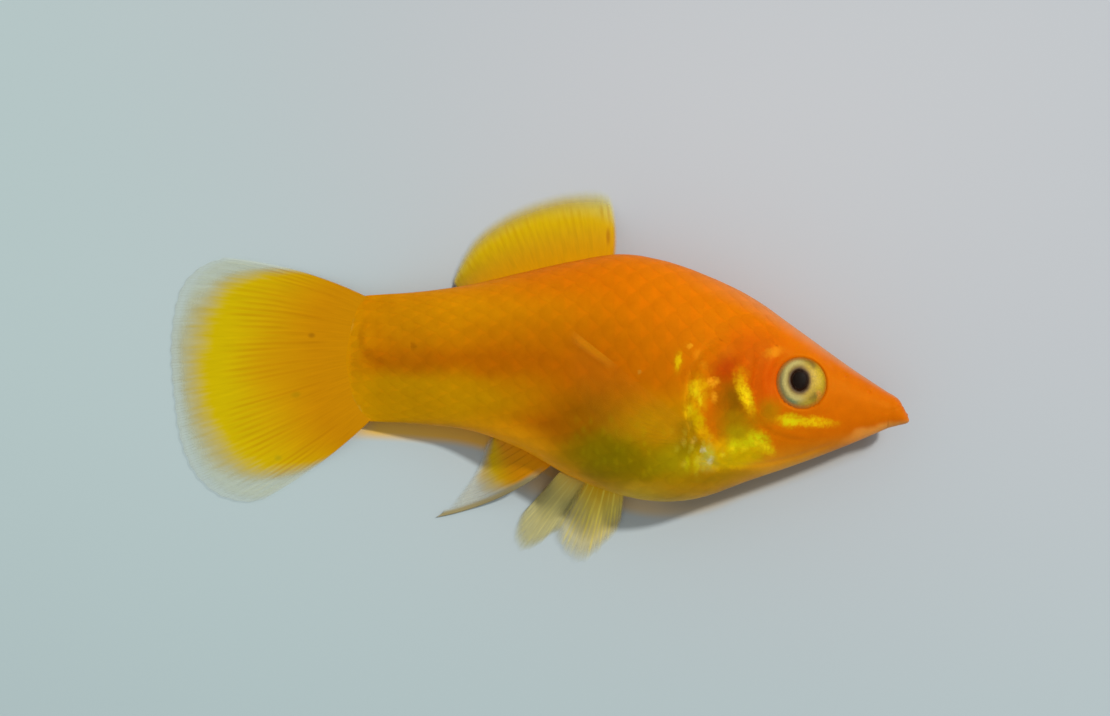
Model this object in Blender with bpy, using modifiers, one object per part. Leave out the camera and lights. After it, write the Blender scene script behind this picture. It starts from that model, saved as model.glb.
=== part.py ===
"""An orange molly, life size, lying on its left flank as a still museum model.

Sizes below are in millimetres, and MM turns them into metres. +X runs to the snout, +Y to
the back and +Z out of the right flank. The floor is the plane Z = 0.
Run with: blender --background --python part.py
"""
import math

import bmesh
import bpy
from mathutils import Matrix, Vector

MM = 0.001

# The body's sections, from the tail's stem to the mouth. Each row holds the place along X,
# the height of the back, of the belly and of the widest line along Y, the half width across
# the flanks, the height of the body's middle above the floor, and the roundness of the back
# and of the belly, where 2 is an ellipse and more is boxier.
SECTIONS = (
    (-15.98, 7.67, -4.52, 1.50, 1.62, 1.86, 2.2, 2.2),  # end of the tail's stem
    (-11.10, 8.00, -4.80, 1.45, 2.20, 2.42, 2.2, 2.2),
    (-6.38, 8.66, -5.37, 1.35, 2.78, 2.96, 2.1, 2.2),  # behind the anal fin
    (-1.67, 9.74, -7.06, 0.70, 3.50, 3.56, 2.0, 2.2),
    (3.04, 10.78, -9.65, -0.70, 4.22, 4.18, 2.0, 2.2),  # vent
    (7.74, 11.49, -11.39, -1.90, 4.85, 4.57, 2.0, 2.2),  # front of the dorsal fin
    (11.51, 10.97, -12.02, -2.50, 5.10, 4.68, 2.0, 2.3),  # deepest part of the belly
    (15.28, 9.74, -11.67, -2.60, 5.05, 4.68, 2.0, 2.3),  # edge of the gill cover
    (19.98, 7.53, -10.03, -2.60, 4.65, 4.64, 2.2, 2.2),  # nape
    (24.70, 4.24, -8.43, -2.70, 3.92, 4.60, 2.4, 2.2),  # eye
    (29.40, 0.85, -6.64, -3.00, 2.95, 4.55, 2.5, 2.2),
    (33.70, -1.98, -4.80, -3.55, 1.85, 4.50, 2.4, 2.4),  # upper lip
)
SNOUT_TIP = (35.00, -3.95)
TAIL_STEM_TIP = (-19.10, 1.22)
TAIL_STEM_DROP = 0.45
RING_POINTS = 30
BODY_RINGS = 34
CAP_RINGS = 5

# The planes that part the body, the gap that parted pieces keep, and the mouth's line.
HEAD_REAR_X = 15.90
TAIL_STEM_FRONT_X = -3.90
GAP = 0.30
JAW_REAR_X = 31.20
MOUTH_TIP_Y = -3.75
MOUTH_CORNER_Y = -4.35
# A block that reaches past the whole body, as its lowest and highest corner.
PAST_BODY = ((-40.0, -20.0, -3.0), (40.0, 20.0, 14.0))

# The gill cover is a plate with an oval outline, let into the head and the shoulder.
GILL_CENTRE = (17.44, -2.70)
GILL_HALF_LENGTH = 3.25
GILL_HALF_HEIGHT = 5.60
GILL_INNER_DEPTH = 2.90
GILL_OUTER_DEPTH = 8.00
GILL_SIDES = 32

EYE_CENTRE = (24.78, -0.66)
EYE_RADIUS = 2.45
EYE_HALF_DEPTH = 1.50
EYE_STANDS_PROUD = 0.55
EYE_AXIS = (0.17, 0.15, 1.0)

FIN_THICKNESS = 0.50
RAY_THICKNESS = 0.68
MEMBRANE_NOTCH = 0.02
# The right pectoral fin's clearance over the flank, at its root and more at its tip.
PECTORAL_CLEARANCE = 0.34
PECTORAL_LIFT = 0.30
# The left pectoral fin lies under the body, this far above the floor.
FOLDED_FIN_HEIGHT = 0.04

ORANGE = (0.80, 0.16, 0.005)
AMBER = (0.72, 0.26, 0.008)
GOLD = (0.85, 0.50, 0.05)
FIN_YELLOW = (0.80, 0.52, 0.04)
IRIS = (0.70, 0.58, 0.20)


def material(name, colour, roughness, metallic=0.0):
    made = bpy.data.materials.new(name)
    made.use_nodes = True
    shader = made.node_tree.nodes["Principled BSDF"]
    shader.inputs["Base Color"].default_value = (*colour, 1.0)
    shader.inputs["Roughness"].default_value = roughness
    shader.inputs["Metallic"].default_value = metallic
    return made


def mesh_object(name, bm):
    mesh = bpy.data.meshes.new(name)
    bm.to_mesh(mesh)
    bm.free()
    return bpy.data.objects.new(name, mesh)


def smooth_curve(knots, at, column=1):
    """The value at a place on the cubic curve through rows of (place, value, ...)."""
    last = len(knots) - 2
    i = next((k for k in range(last + 1) if at <= knots[k + 1][0]), last)

    def slope(k):
        low, high = max(k - 1, 0), min(k + 1, len(knots) - 1)
        rise = knots[high][column] - knots[low][column]
        return rise / (knots[high][0] - knots[low][0])

    span = knots[i + 1][0] - knots[i][0]
    u = min(max((at - knots[i][0]) / span, 0.0), 1.0)
    start, end = knots[i][column], knots[i + 1][column]
    return (
        (2 * u**3 - 3 * u**2 + 1) * start
        + (u**3 - 2 * u**2 + u) * span * slope(i)
        + (3 * u**2 - 2 * u**3) * end
        + (u**3 - u**2) * span * slope(i + 1)
    )


def section(x):
    """Back, belly, widest line, half width, middle height and two roundnesses at X."""
    first, last = SECTIONS[0][0], SECTIONS[-1][0]
    values = [smooth_curve(SECTIONS, min(max(x, first), last), c) for c in range(1, 8)]
    if x > last:
        reach, tip_y = (x - last) / (SNOUT_TIP[0] - last), SNOUT_TIP[1]
    elif x < first:
        reach, tip_y = (first - x) / (first - TAIL_STEM_TIP[0]), TAIL_STEM_TIP[1]
    else:
        return values
    shrink = math.sqrt(max(1.0 - reach**2, 0.0))
    for c in range(3):
        values[c] = tip_y + (values[c] - tip_y) * shrink
    values[3] *= shrink
    if x < first:
        values[4] -= TAIL_STEM_DROP * reach
    return values


def ring(x, grow):
    """The points of one section, grown outwards by grow."""
    back, belly, widest, half_width, middle, back_power, belly_power = section(x)
    points = []
    for k in range(RING_POINTS):
        angle = 2 * math.pi * k / RING_POINTS
        across, up = math.cos(angle), math.sin(angle)
        power = back_power if up > 0 else belly_power
        reach = (back - widest if up > 0 else widest - belly) + grow
        y = widest + reach * math.copysign(abs(up) ** (2 / power), up)
        z = middle + (half_width + grow) * math.copysign(abs(across) ** (2 / power), across)
        points.append(Vector((x, y, z)))
    return points


def flank_height(x, y, side):
    """The height of the flank's surface above the floor; side is 1 for the right flank."""
    back, belly, widest, half_width, middle, back_power, belly_power = section(x)
    above = y > widest
    power = back_power if above else belly_power
    share = abs(y - widest) / (back - widest if above else widest - belly)
    return middle + side * half_width * (1 - min(share, 1) ** power) ** (1 / power)


def ring_places():
    """The places of the rings along X, closer together in the rounded ends."""
    first, last = SECTIONS[0][0], SECTIONS[-1][0]
    turns = [math.sin(math.pi / 2 * k / CAP_RINGS) for k in range(1, CAP_RINGS)]
    tail_end = [first + (TAIL_STEM_TIP[0] - first) * t for t in reversed(turns)]
    between = [first + (last - first) * k / BODY_RINGS for k in range(BODY_RINGS + 1)]
    return tail_end + between + [last + (SNOUT_TIP[0] - last) * t for t in turns]


def loft(name, grow=0.0, flat_foot=True):
    """The whole body as one closed mesh, cut flat where it lies on the floor."""
    bm = bmesh.new()
    loops = [[bm.verts.new(p * MM) for p in ring(x, grow)] for x in ring_places()]
    for near, far in zip(loops, loops[1:]):
        for k in range(RING_POINTS):
            following = (k + 1) % RING_POINTS
            bm.faces.new((near[k], near[following], far[following], far[k]))
    for (x, y), loop, outwards in ((TAIL_STEM_TIP, loops[0], -1), (SNOUT_TIP, loops[-1], 1)):
        tip = bm.verts.new(Vector((x + outwards * grow, y, section(x)[4])) * MM)
        for k in range(RING_POINTS):
            bm.faces.new((loop[k], loop[(k + 1) % RING_POINTS], tip))
    if flat_foot:
        whole = [*bm.verts, *bm.edges, *bm.faces]
        sliced = bmesh.ops.bisect_plane(
            bm, geom=whole, dist=1e-7, plane_co=(0, 0, 0), plane_no=(0, 0, 1), clear_inner=True
        )
        rim = [e for e in sliced["geom_cut"] if isinstance(e, bmesh.types.BMEdge)]
        bmesh.ops.edgeloop_fill(bm, edges=rim)
    bmesh.ops.recalc_face_normals(bm, faces=bm.faces)
    return mesh_object(name, bm)


def box(name, low, high):
    """A closed box between two corners, from Blender's cube."""
    bm = bmesh.new()
    bmesh.ops.create_cube(bm, size=1.0)
    bmesh.ops.scale(bm, vec=[(b - a) * MM for a, b in zip(low, high)], verts=bm.verts)
    centre = [(a + b) / 2 * MM for a, b in zip(low, high)]
    bmesh.ops.translate(bm, vec=centre, verts=bm.verts)
    return mesh_object(name, bm)


def slab(name, low_x, high_x):
    """A box past the whole body between two places along X."""
    low, high = PAST_BODY
    return box(name, (low_x, *low[1:]), (high_x, *high[1:]))


def gill_prism(name, side, grow):
    """An upright oval prism, from inside the head out past the flank on one side."""
    x, y = GILL_CENTRE
    middle = section(x)[4]
    inner = middle + side * (GILL_INNER_DEPTH - grow)
    outer = middle + side * GILL_OUTER_DEPTH
    bm = bmesh.new()
    bmesh.ops.create_cone(
        bm, cap_ends=True, segments=GILL_SIDES, radius1=1.0, radius2=1.0, depth=1.0
    )
    size = (GILL_HALF_LENGTH + grow, GILL_HALF_HEIGHT + grow, abs(outer - inner))
    bmesh.ops.scale(bm, vec=[s * MM for s in size], verts=bm.verts)
    bmesh.ops.translate(bm, vec=Vector((x, y, (inner + outer) / 2)) * MM, verts=bm.verts)
    return mesh_object(name, bm)


def eyeball(name, side, grow=0.0):
    """A flattened ball let into the side of the head, its axis tipped forwards."""
    x, y = EYE_CENTRE
    height = flank_height(x, y, side) + side * (EYE_STANDS_PROUD - EYE_HALF_DEPTH)
    axis = Vector((EYE_AXIS[0], EYE_AXIS[1], side * EYE_AXIS[2]))
    turn = Vector((0, 0, 1)).rotation_difference(axis).to_matrix().to_4x4()
    bm = bmesh.new()
    bmesh.ops.create_uvsphere(bm, u_segments=24, v_segments=12, radius=1.0)
    size = (EYE_RADIUS + grow, EYE_RADIUS + grow, EYE_HALF_DEPTH + grow)
    bmesh.ops.scale(bm, vec=[s * MM for s in size], verts=bm.verts)
    place = Matrix.Translation(Vector((x, y, height)) * MM)
    bmesh.ops.transform(bm, matrix=place @ turn, verts=bm.verts)
    return mesh_object(name, bm)


def jaw_wedge(name, shift):
    """The block under the mouth's line. Its top and rear are moved by shift."""
    low, high = PAST_BODY
    block = box(name, (JAW_REAR_X + shift, *low[1:]), (high[0], 0.0, high[2]))
    slope = (MOUTH_TIP_Y - MOUTH_CORNER_Y) / (SNOUT_TIP[0] - JAW_REAR_X)
    for vertex in block.data.vertices:
        if vertex.co.y > low[1] / 2 * MM:
            run = vertex.co.x / MM - JAW_REAR_X
            vertex.co.y = (MOUTH_CORNER_Y + slope * run - shift) * MM
    return block


def along(points, share):
    """A point at a share of the way along a smooth curve through points."""
    lengths = [0.0]
    for a, b in zip(points, points[1:]):
        lengths.append(lengths[-1] + math.dist(a, b))
    knots = [(s / lengths[-1], *p) for s, p in zip(lengths, points)]
    return Vector((smooth_curve(knots, share, 1), smooth_curve(knots, share, 2)))


def fin_sheet(name, base, margin, rays, rows, height, bulge=(0.0, 0.0)):
    """A fin spread like a fan, whose rays run from a base line to the margin.

    base and margin are curves in the XY plane, from the fin's front to its rear. height gives
    the fin's underside above the floor at a point and a share of the way out, and bulge is
    how far the first and the last ray bow outwards, as a share of their length. The rays are
    a little thicker than the membrane between them, which stops a little short of their tips.
    """
    columns = 2 * rays - 1
    inwards = along(margin, 0.5) - along(margin, 0.0)
    bm = bmesh.new()
    bmesh.ops.create_grid(bm, x_segments=columns - 1, y_segments=rows, size=0.5)
    weights = []
    for vertex in bm.verts:
        column = round((vertex.co.x + 0.5) * (columns - 1))
        across, out = column / (columns - 1), vertex.co.y + 0.5
        on_ray = column % 2 == 0
        start = along(base, across)
        run = along(margin, across) - start
        sideways = Vector((-run.y, run.x))
        if sideways.dot(inwards) > 0:
            sideways.negate()
        bow = bulge[0] * max(1 - 2 * across, 0) - bulge[1] * max(2 * across - 1, 0)
        reach = out * (1.0 if on_ray else 1.0 - MEMBRANE_NOTCH)
        point = start + run * reach + sideways * bow * 4 * reach * (1 - reach)
        vertex.co = Vector((point.x, point.y, height(point, reach))) * MM
        weights.append(1.0 if on_ray else FIN_THICKNESS / RAY_THICKNESS)
    bm.normal_update()
    if sum(face.normal.z * face.calc_area() for face in bm.faces) < 0:
        bmesh.ops.reverse_faces(bm, faces=bm.faces)
    fin = mesh_object(name, bm)
    group = fin.vertex_groups.new(name="thickness")
    for index, weight in enumerate(weights):
        group.add([index], weight, "REPLACE")
    solidify = fin.modifiers.new("thickness", "SOLIDIFY")
    solidify.thickness = RAY_THICKNESS * MM
    solidify.offset = 1.0
    solidify.vertex_group = group.name
    return fin


def ease(share):
    share = min(max(share, 0.0), 1.0)
    return share * share * (3 - 2 * share)


def drooping(offset, landing):
    """A height rule: from near the body's middle down to the floor, at a share of the way out."""
    return lambda point, out: (section(point.x)[4] + offset) * (1 - ease(out / landing))


def caudal_fin():
    base = ((-15.2, 6.95), (-16.6, 4.60), (-17.1, 1.30), (-16.8, -2.10), (-15.7, -4.20))
    margin = (
        (-29.8, 11.20), (-32.1, 10.30), (-33.8, 8.55), (-34.7, 5.60), (-35.0, 1.80),
        (-34.6, -2.60), (-34.0, -6.20), (-32.7, -9.35), (-30.6, -11.3), (-27.9, -12.1),
        (-26.0, -11.8),
    )
    return fin_sheet(
        "caudal_fin", base, margin, 17, 8, height=drooping(-0.45, 0.62), bulge=(0.050, 0.035)
    )


def dorsal_fin():
    base = ((7.35, 10.7), (0.0, 9.4), (-6.6, 7.9))
    margin = (
        (6.95, 17.55), (5.40, 18.05), (2.70, 17.85), (0.20, 17.25), (-2.25, 16.30),
        (-4.40, 15.00), (-6.10, 13.45), (-7.15, 11.60), (-7.75, 9.60),
    )
    return fin_sheet(
        "dorsal_fin", base, margin, 13, 6, height=drooping(-0.30, 1.0), bulge=(0.05, 0.05)
    )


def anal_fin():
    base = ((1.60, -8.30), (-0.80, -6.70), (-3.60, -5.20))
    margin = ((-9.75, -13.55), (-8.30, -11.95), (-6.75, -10.20), (-5.70, -8.40), (-5.00, -6.30))
    return fin_sheet(
        "anal_fin", base, margin, 9, 6, height=drooping(-0.35, 0.80), bulge=(0.065, 0.0)
    )


def pelvic_fin_right():
    base = ((8.25, -10.60), (6.70, -10.20), (5.30, -9.50))
    margin = (
        (8.00, -14.00), (7.35, -15.35), (6.30, -16.50), (5.30, -17.50), (3.90, -18.25),
        (2.75, -17.40), (1.95, -15.80),
    )
    return fin_sheet("pelvic_fin_right", base, margin, 7, 7, height=drooping(0.20, 0.72))


def pelvic_fin_left():
    base = ((4.40, -10.10), (3.40, -9.75), (2.40, -9.30))
    margin = (
        (1.40, -15.10), (-0.30, -16.60), (-1.80, -17.10), (-2.50, -16.10), (-2.45, -15.05),
        (-1.90, -13.70), (-1.00, -12.75),
    )
    return fin_sheet("pelvic_fin_left", base, margin, 7, 7, height=drooping(-0.90, 0.60))


def pectoral_fin_right():
    base = ((14.30, -4.60), (14.15, -5.60), (13.95, -6.70))
    margin = (
        (3.05, 4.40), (2.10, 2.35), (2.30, -0.30), (3.40, -2.80), (5.10, -5.00), (7.25, -6.70),
    )

    def over_flank(point, out):
        return flank_height(*point, 1) + PECTORAL_CLEARANCE + PECTORAL_LIFT * out**2

    return fin_sheet("pectoral_fin_right", base, margin, 12, 6, height=over_flank)


def pectoral_fin_left():
    base = ((14.30, -4.80), (14.25, -5.40), (14.20, -6.00))
    margin = ((3.30, 3.80), (3.05, 3.00), (3.55, 1.80), (4.50, 0.70))
    return fin_sheet("pectoral_fin_left", base, margin, 6, 4, lambda *_: FOLDED_FIN_HEIGHT)


def pectoral_pocket(fin):
    """A cutter a gap wider than the left pectoral fin, which lies pressed under the flank."""
    points = [v.co.xy for v in fin.data.vertices]
    centre = sum(points, Vector((0, 0))) / len(points)
    top = FOLDED_FIN_HEIGHT + RAY_THICKNESS + GAP
    bm = bmesh.new()
    for level in (PAST_BODY[0][2], top):
        for p in points:
            edge = p + (p - centre).normalized() * 1.5 * GAP * MM
            bm.verts.new((*edge, level * MM))
    hull = bmesh.ops.convex_hull(bm, input=bm.verts)
    spare = [v for v in bm.verts if not v.link_faces]
    bmesh.ops.delete(bm, geom=spare + hull["geom_holes"], context="VERTS")
    bmesh.ops.recalc_face_normals(bm, faces=bm.faces)
    return mesh_object("cut_pectoral_pocket", bm)


def cut(target, cutter, operation="DIFFERENCE"):
    modifier = target.modifiers.new(cutter.name, "BOOLEAN")
    modifier.operation = operation
    modifier.object = cutter


def main():
    for obj in list(bpy.data.objects):
        bpy.data.objects.remove(obj)
    parts = bpy.data.collections.new("orange_molly")
    cutters = bpy.data.collections.new("cutters")
    for collection in (parts, cutters):
        bpy.context.scene.collection.children.link(collection)

    skin = material("orange_skin", ORANGE, 0.35)
    stem_skin = material("amber_skin", AMBER, 0.35)
    gold = material("gold_gill_cover", GOLD, 0.28, 0.3)
    fin_skin = material("yellow_fin", FIN_YELLOW, 0.45)
    iris = material("gold_iris", IRIS, 0.15)

    def cutter(obj):
        cutters.objects.link(obj)
        obj.hide_render = True
        obj.display_type = "WIRE"
        return obj

    def node(obj, finish):
        parts.objects.link(obj)
        obj.data.materials.append(finish)
        return obj

    half = GAP / 2
    (rear, *_), (front, *_) = PAST_BODY
    head = node(loft("head"), skin)
    cut(head, cutter(slab("cut_head_slab", HEAD_REAR_X + half, front)), "INTERSECT")
    trunk = node(loft("trunk"), skin)
    trunk_slab = slab("cut_trunk_slab", TAIL_STEM_FRONT_X + half, HEAD_REAR_X - half)
    cut(trunk, cutter(trunk_slab), "INTERSECT")
    stem = node(loft("tail_stem"), stem_skin)
    cut(stem, cutter(slab("cut_stem_slab", rear, TAIL_STEM_FRONT_X - half)), "INTERSECT")

    for flank, side in (("right", 1), ("left", -1)):
        gill_room = cutter(gill_prism(f"cut_gill_room_{flank}", side, GAP))
        cut(head, gill_room)
        cut(trunk, gill_room)
        cover = node(loft(f"gill_cover_{flank}"), gold)
        cut(cover, cutter(gill_prism(f"cut_gill_cover_{flank}", side, 0.0)), "INTERSECT")
        cut(head, cutter(eyeball(f"cut_eye_socket_{flank}", side, GAP)))
        node(eyeball(f"eye_{flank}", side), iris)

    cut(head, cutter(jaw_wedge("cut_jaw_room", -half)))
    jaw = node(loft("lower_jaw"), skin)
    cut(jaw, cutter(jaw_wedge("cut_jaw", half)), "INTERSECT")

    body_room = cutter(loft("cut_body_room", grow=GAP, flat_foot=False))
    for fin in (caudal_fin(), dorsal_fin(), anal_fin(), pelvic_fin_right(), pelvic_fin_left()):
        cut(node(fin, fin_skin), body_room)
    node(pectoral_fin_right(), fin_skin)
    folded = node(pectoral_fin_left(), fin_skin)
    cut(trunk, cutter(pectoral_pocket(folded)))


main()
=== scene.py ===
"""An orange molly at life size, lying on its left flank on a pale floor and seen from above.

Lengths are in millimetres until MM turns them into metres. +X runs to the snout, +Y to the
back and +Z out of the right flank. The floor is the plane Z = 0.
"""

import math

import bmesh
import bpy
import numpy as np
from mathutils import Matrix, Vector


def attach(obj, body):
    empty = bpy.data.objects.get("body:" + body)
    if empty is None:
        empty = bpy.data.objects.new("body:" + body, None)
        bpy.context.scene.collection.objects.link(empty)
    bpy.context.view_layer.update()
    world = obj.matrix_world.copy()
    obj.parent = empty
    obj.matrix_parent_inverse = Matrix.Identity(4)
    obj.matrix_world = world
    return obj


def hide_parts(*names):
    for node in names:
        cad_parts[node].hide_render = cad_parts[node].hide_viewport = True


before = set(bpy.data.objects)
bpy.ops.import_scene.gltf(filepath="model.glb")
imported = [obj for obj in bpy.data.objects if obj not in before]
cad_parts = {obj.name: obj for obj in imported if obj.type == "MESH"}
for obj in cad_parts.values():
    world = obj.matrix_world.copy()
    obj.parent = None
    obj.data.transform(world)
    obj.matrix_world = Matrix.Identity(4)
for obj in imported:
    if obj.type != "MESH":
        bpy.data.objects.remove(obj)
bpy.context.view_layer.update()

MM = 0.001

# The body's sections, as in the CAD: the place along X, the height of the back, of the belly
# and of the widest line along Y, the half width across the flanks, the height of the body's
# middle above the floor, and the roundness of the back and of the belly.
SECTIONS = (
    (-15.98, 7.67, -4.52, 1.50, 1.62, 1.86, 2.2, 2.2),  # end of the tail's stem
    (-11.10, 8.00, -4.80, 1.45, 2.20, 2.42, 2.2, 2.2),
    (-6.38, 8.66, -5.37, 1.35, 2.78, 2.96, 2.1, 2.2),  # behind the anal fin
    (-1.67, 9.74, -7.06, 0.70, 3.50, 3.56, 2.0, 2.2),
    (3.04, 10.78, -9.65, -0.70, 4.22, 4.18, 2.0, 2.2),  # vent
    (7.74, 11.49, -11.39, -1.90, 4.85, 4.57, 2.0, 2.2),  # front of the dorsal fin
    (11.51, 10.97, -12.02, -2.50, 5.10, 4.68, 2.0, 2.3),  # deepest part of the belly
    (15.28, 9.74, -11.67, -2.60, 5.05, 4.68, 2.0, 2.3),  # edge of the gill cover
    (19.98, 7.53, -10.03, -2.60, 4.65, 4.64, 2.2, 2.2),  # nape
    (24.70, 4.24, -8.43, -2.70, 3.92, 4.60, 2.4, 2.2),  # eye
    (29.40, 0.85, -6.64, -3.00, 2.95, 4.55, 2.5, 2.2),
    (33.70, -1.98, -4.80, -3.55, 1.85, 4.50, 2.4, 2.4),  # upper lip
)
# The round end of the tail's stem, and how far its middle drops there.
TAIL_STEM_TIP = (-19.10, 1.22)
TAIL_STEM_DROP = 0.45
# How much faster the tail stem's flesh thins towards its end than it narrows, how far its
# middle settles there, and how sharp its edges become as it runs out over the fin.
TAIL_WEDGE = 1.3
TAIL_THINS = (-8.0, -16.5)
TAIL_THINNING = 0.52
TAIL_SETTLES = (-9.0, -18.5)
TAIL_SETTLING = 0.50
TAIL_SHARPENS = (-12.5, -17.0)
TAIL_EDGE_POWER = 1.15

# The blunt, slanting front of the snout, as rings that lean back more and more: the share of
# the way forwards, the ring's upper edge, its lower edge and its half width.
SNOUT_START_X = 32.90
SNOUT_RINGS = (
    (0.34, (33.60, -1.98), (33.88, -4.76), 1.80),
    (0.58, (33.96, -2.28), (34.50, -4.62), 1.55),
    (0.78, (34.24, -2.72), (34.88, -4.45), 1.15),
    (0.92, (34.50, -3.20), (34.95, -4.20), 0.64),
)
SNOUT_POLE = (34.76, -3.76)

# The scales' coat lies over the skin, so the skin is this far inside the CAD's flesh.
COAT_DEPTH = 0.12
# The skin's grid: the points in a ring, the gaps between rings on the body and on the head,
# and the rings of its two ends.
AROUND = 192
BODY_STEP = 0.26
HEAD_STEP = 0.13
HEAD_FROM_X = 13.0
TAIL_CAP_RINGS = 16
SNOUT_CAP_RINGS = 26
# The skin keeps this far off the floor where it lies on it, with an edge this soft.
SKIN_REST = 0.11
SKIN_SOFTNESS = 0.10
# The pocket for the left pectoral fin, folded under the flank: middle, half sizes and depth.
FIN_POCKET = ((8.2, -0.6), (6.6, 3.6))
FIN_POCKET_DEPTH = 0.16

# The mouth's slit runs back from its corner, and its lips stand beside it.
MOUTH_CORNER = (33.00, -3.42)
MOUTH_SLOPE = 0.42
MOUTH_DEPTH, MOUTH_WIDTH = 0.035, 0.09
LIP_RISE, LIP_OFFSET, LIP_WIDTH = 0.008, 0.25, 0.15
NOSTRILS = ((31.1, -1.55), (28.9, -0.05))
NOSTRIL_RISE, NOSTRIL_RADIUS, NOSTRIL_RIM = 0.05, 0.24, 0.09
NOSTRIL_DEPTH, NOSTRIL_WIDTH = 0.16, 0.13

# The gill cover's oval. Its plate stands out, and a slit follows its edge.
GILL_CENTRE = (17.44, -2.70)
GILL_HALF_LENGTH = 3.25
GILL_HALF_HEIGHT = 5.60
GILL_RISE = 0.12
GILL_SLIT_DEPTH, GILL_SLIT_SHARE, GILL_SLIT_WIDTH = 0.09, 1.07, 0.045
# The root of the pectoral fin stands out behind it: middle, half sizes and height.
FIN_ROOT = ((14.2, -5.6), (0.9, 1.35))
FIN_ROOT_RISE = 0.30

EYE_CENTRE = (24.70, -0.68)
EYE_RADIUS = 2.45
EYE_AXIS = (0.17, 0.15, 1.0)
# How deep the skin sinks round the eye and under it, how far round it that reaches, and the
# raised ring of skin.
EYE_SINK = 0.30
SOCKET_DEPTH = 0.9
SOCKET_REACH = 1.15
ORBIT_RISE, ORBIT_OFFSET, ORBIT_WIDTH = 0.06, 0.20, 0.22
# The middle of the bare ring between the eye and the cheek's scales.
BARE_RING_CENTRE = (24.78, -0.66)
PUPIL_SHIFT = (-0.26, 0.20)
PUPIL_HALF = (0.78, 0.96)

# The skin's unwrap keeps this far from the edges of its square.
UNWRAP_MARGIN = 0.01
UNWRAP_INNER = 1 - 2 * UNWRAP_MARGIN

# The camera of the photo: straight down from above this point, with a long lens.
CAMERA_ABOVE = (1.624, 1.6005)
CAMERA_DISTANCE = 450.0
CAMERA_PLANE = 4.6
VIEW_WIDTH = 104.506
SENSOR_WIDTH = 36.0
CLIP_METRES = (0.01, 20.0)

KEY_DIRECTION = (-0.73, -0.48, -1.0)
KEY_DISTANCE = 900.0
KEY_SIZE = 70.0
KEY_POWER = 5.6
KEY_COLOUR = (1.0, 0.985, 0.96)
SKY_COLOUR = (0.95, 0.98, 1.0)
SKY_STRENGTH = 0.48

SEED = 7
PATCH_SOFTNESS = 0.7

# The paints, as they look in daylight: red, green and blue from 0 to 255.
PAINTS = {
    "orange": (228, 117, 1),
    "head orange": (206, 99, 2),
    "amber": (202, 107, 1),
    "stem amber": (220, 144, 2),
    # painted light: lighter, to offset the shade on the tail stem's sloping end
    "stem end painted light": (226, 154, 2),
    "ochre": (208, 146, 1),
    "band": (192, 98, 1),
    "peach": (204, 146, 104),
    # partly painted light: brightened for the light through the belly's thin edge and against the
    # shade on the lower side
    "tan": (255, 166, 4),
    "chin": (214, 156, 34),
    "pale chin": (240, 156, 60),
    "sand": (212, 176, 40),
    # painted highlight: the whitish glints on the gill cover
    "pearl highlight": (224, 218, 170),
    "umber": (144, 90, 1),
    "dull gold": (190, 138, 1),
    "olive": (142, 116, 1),
    "dark olive": (126, 110, 1),
    "moss": (170, 148, 6),
    "yellow": (212, 176, 4),
    "deep yellow": (206, 168, 0),
    "gold": (230, 186, 8),
    "bright gold": (244, 208, 16),
    "amber gold": (226, 160, 3),
    "lime": (214, 204, 10),
    "pale lime": (208, 194, 58),
    "sea grey": (164, 158, 64),
    "bronze olive": (160, 118, 3),
    "bronze": (138, 86, 1),
    "red": (184, 58, 1),
    "red orange": (206, 78, 1),
    "deep orange": (208, 100, 1),
    "apricot": (242, 156, 22),
    "brown": (168, 92, 2),
    "bone": (204, 160, 56),
}


def linear(colour):
    """A colour from 0 to 255 as the light that it stands for, with full alpha."""
    shares = [c / 255 for c in colour]
    return (*[s / 12.92 if s <= 0.04045 else ((s + 0.055) / 1.055) ** 2.4 for s in shares], 1.0)


def paint(name):
    return linear(PAINTS[name])


# Shape rules


def smooth_curve(knots, at, column=1):
    """The value at a place on the cubic curve through rows of (place, value, ...)."""
    last = len(knots) - 2
    i = next((k for k in range(last + 1) if at <= knots[k + 1][0]), last)

    def slope(k):
        low, high = max(k - 1, 0), min(k + 1, len(knots) - 1)
        rise = knots[high][column] - knots[low][column]
        return rise / (knots[high][0] - knots[low][0])

    span = knots[i + 1][0] - knots[i][0]
    u = min(max((at - knots[i][0]) / span, 0.0), 1.0)
    start, end = knots[i][column], knots[i + 1][column]
    return (
        (2 * u**3 - 3 * u**2 + 1) * start
        + (u**3 - 2 * u**2 + u) * span * slope(i)
        + (3 * u**2 - 2 * u**3) * end
        + (u**3 - u**2) * span * slope(i + 1)
    )


def tail_reach(x):
    """How far a place lies along the tail stem's round end, from 0 to 1."""
    first = SECTIONS[0][0]
    return max((first - x) / (first - TAIL_STEM_TIP[0]), 0.0)


def section(x):
    """Back, belly, widest line, half width, middle height and two roundnesses at X."""
    at = min(max(x, SECTIONS[0][0]), SECTIONS[-1][0])
    values = [smooth_curve(SECTIONS, at, column) for column in range(1, len(SECTIONS[0]))]
    reach = tail_reach(x)
    shrink = math.sqrt(max(1.0 - reach**2, 0.0))
    for c in range(3):
        values[c] = TAIL_STEM_TIP[1] + (values[c] - TAIL_STEM_TIP[1]) * shrink
    values[3] *= shrink
    values[4] -= TAIL_STEM_DROP * reach
    return values


def flank_height(x, y, side):
    """The height of the CAD's flank above the floor; side is 1 for the right flank."""
    back, belly, widest, half_width, middle, back_power, belly_power = section(x)
    above = y > widest
    power = back_power if above else belly_power
    share = abs(y - widest) / (back - widest if above else widest - belly)
    return middle + side * half_width * (1 - min(share, 1) ** power) ** (1 / power)


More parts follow.
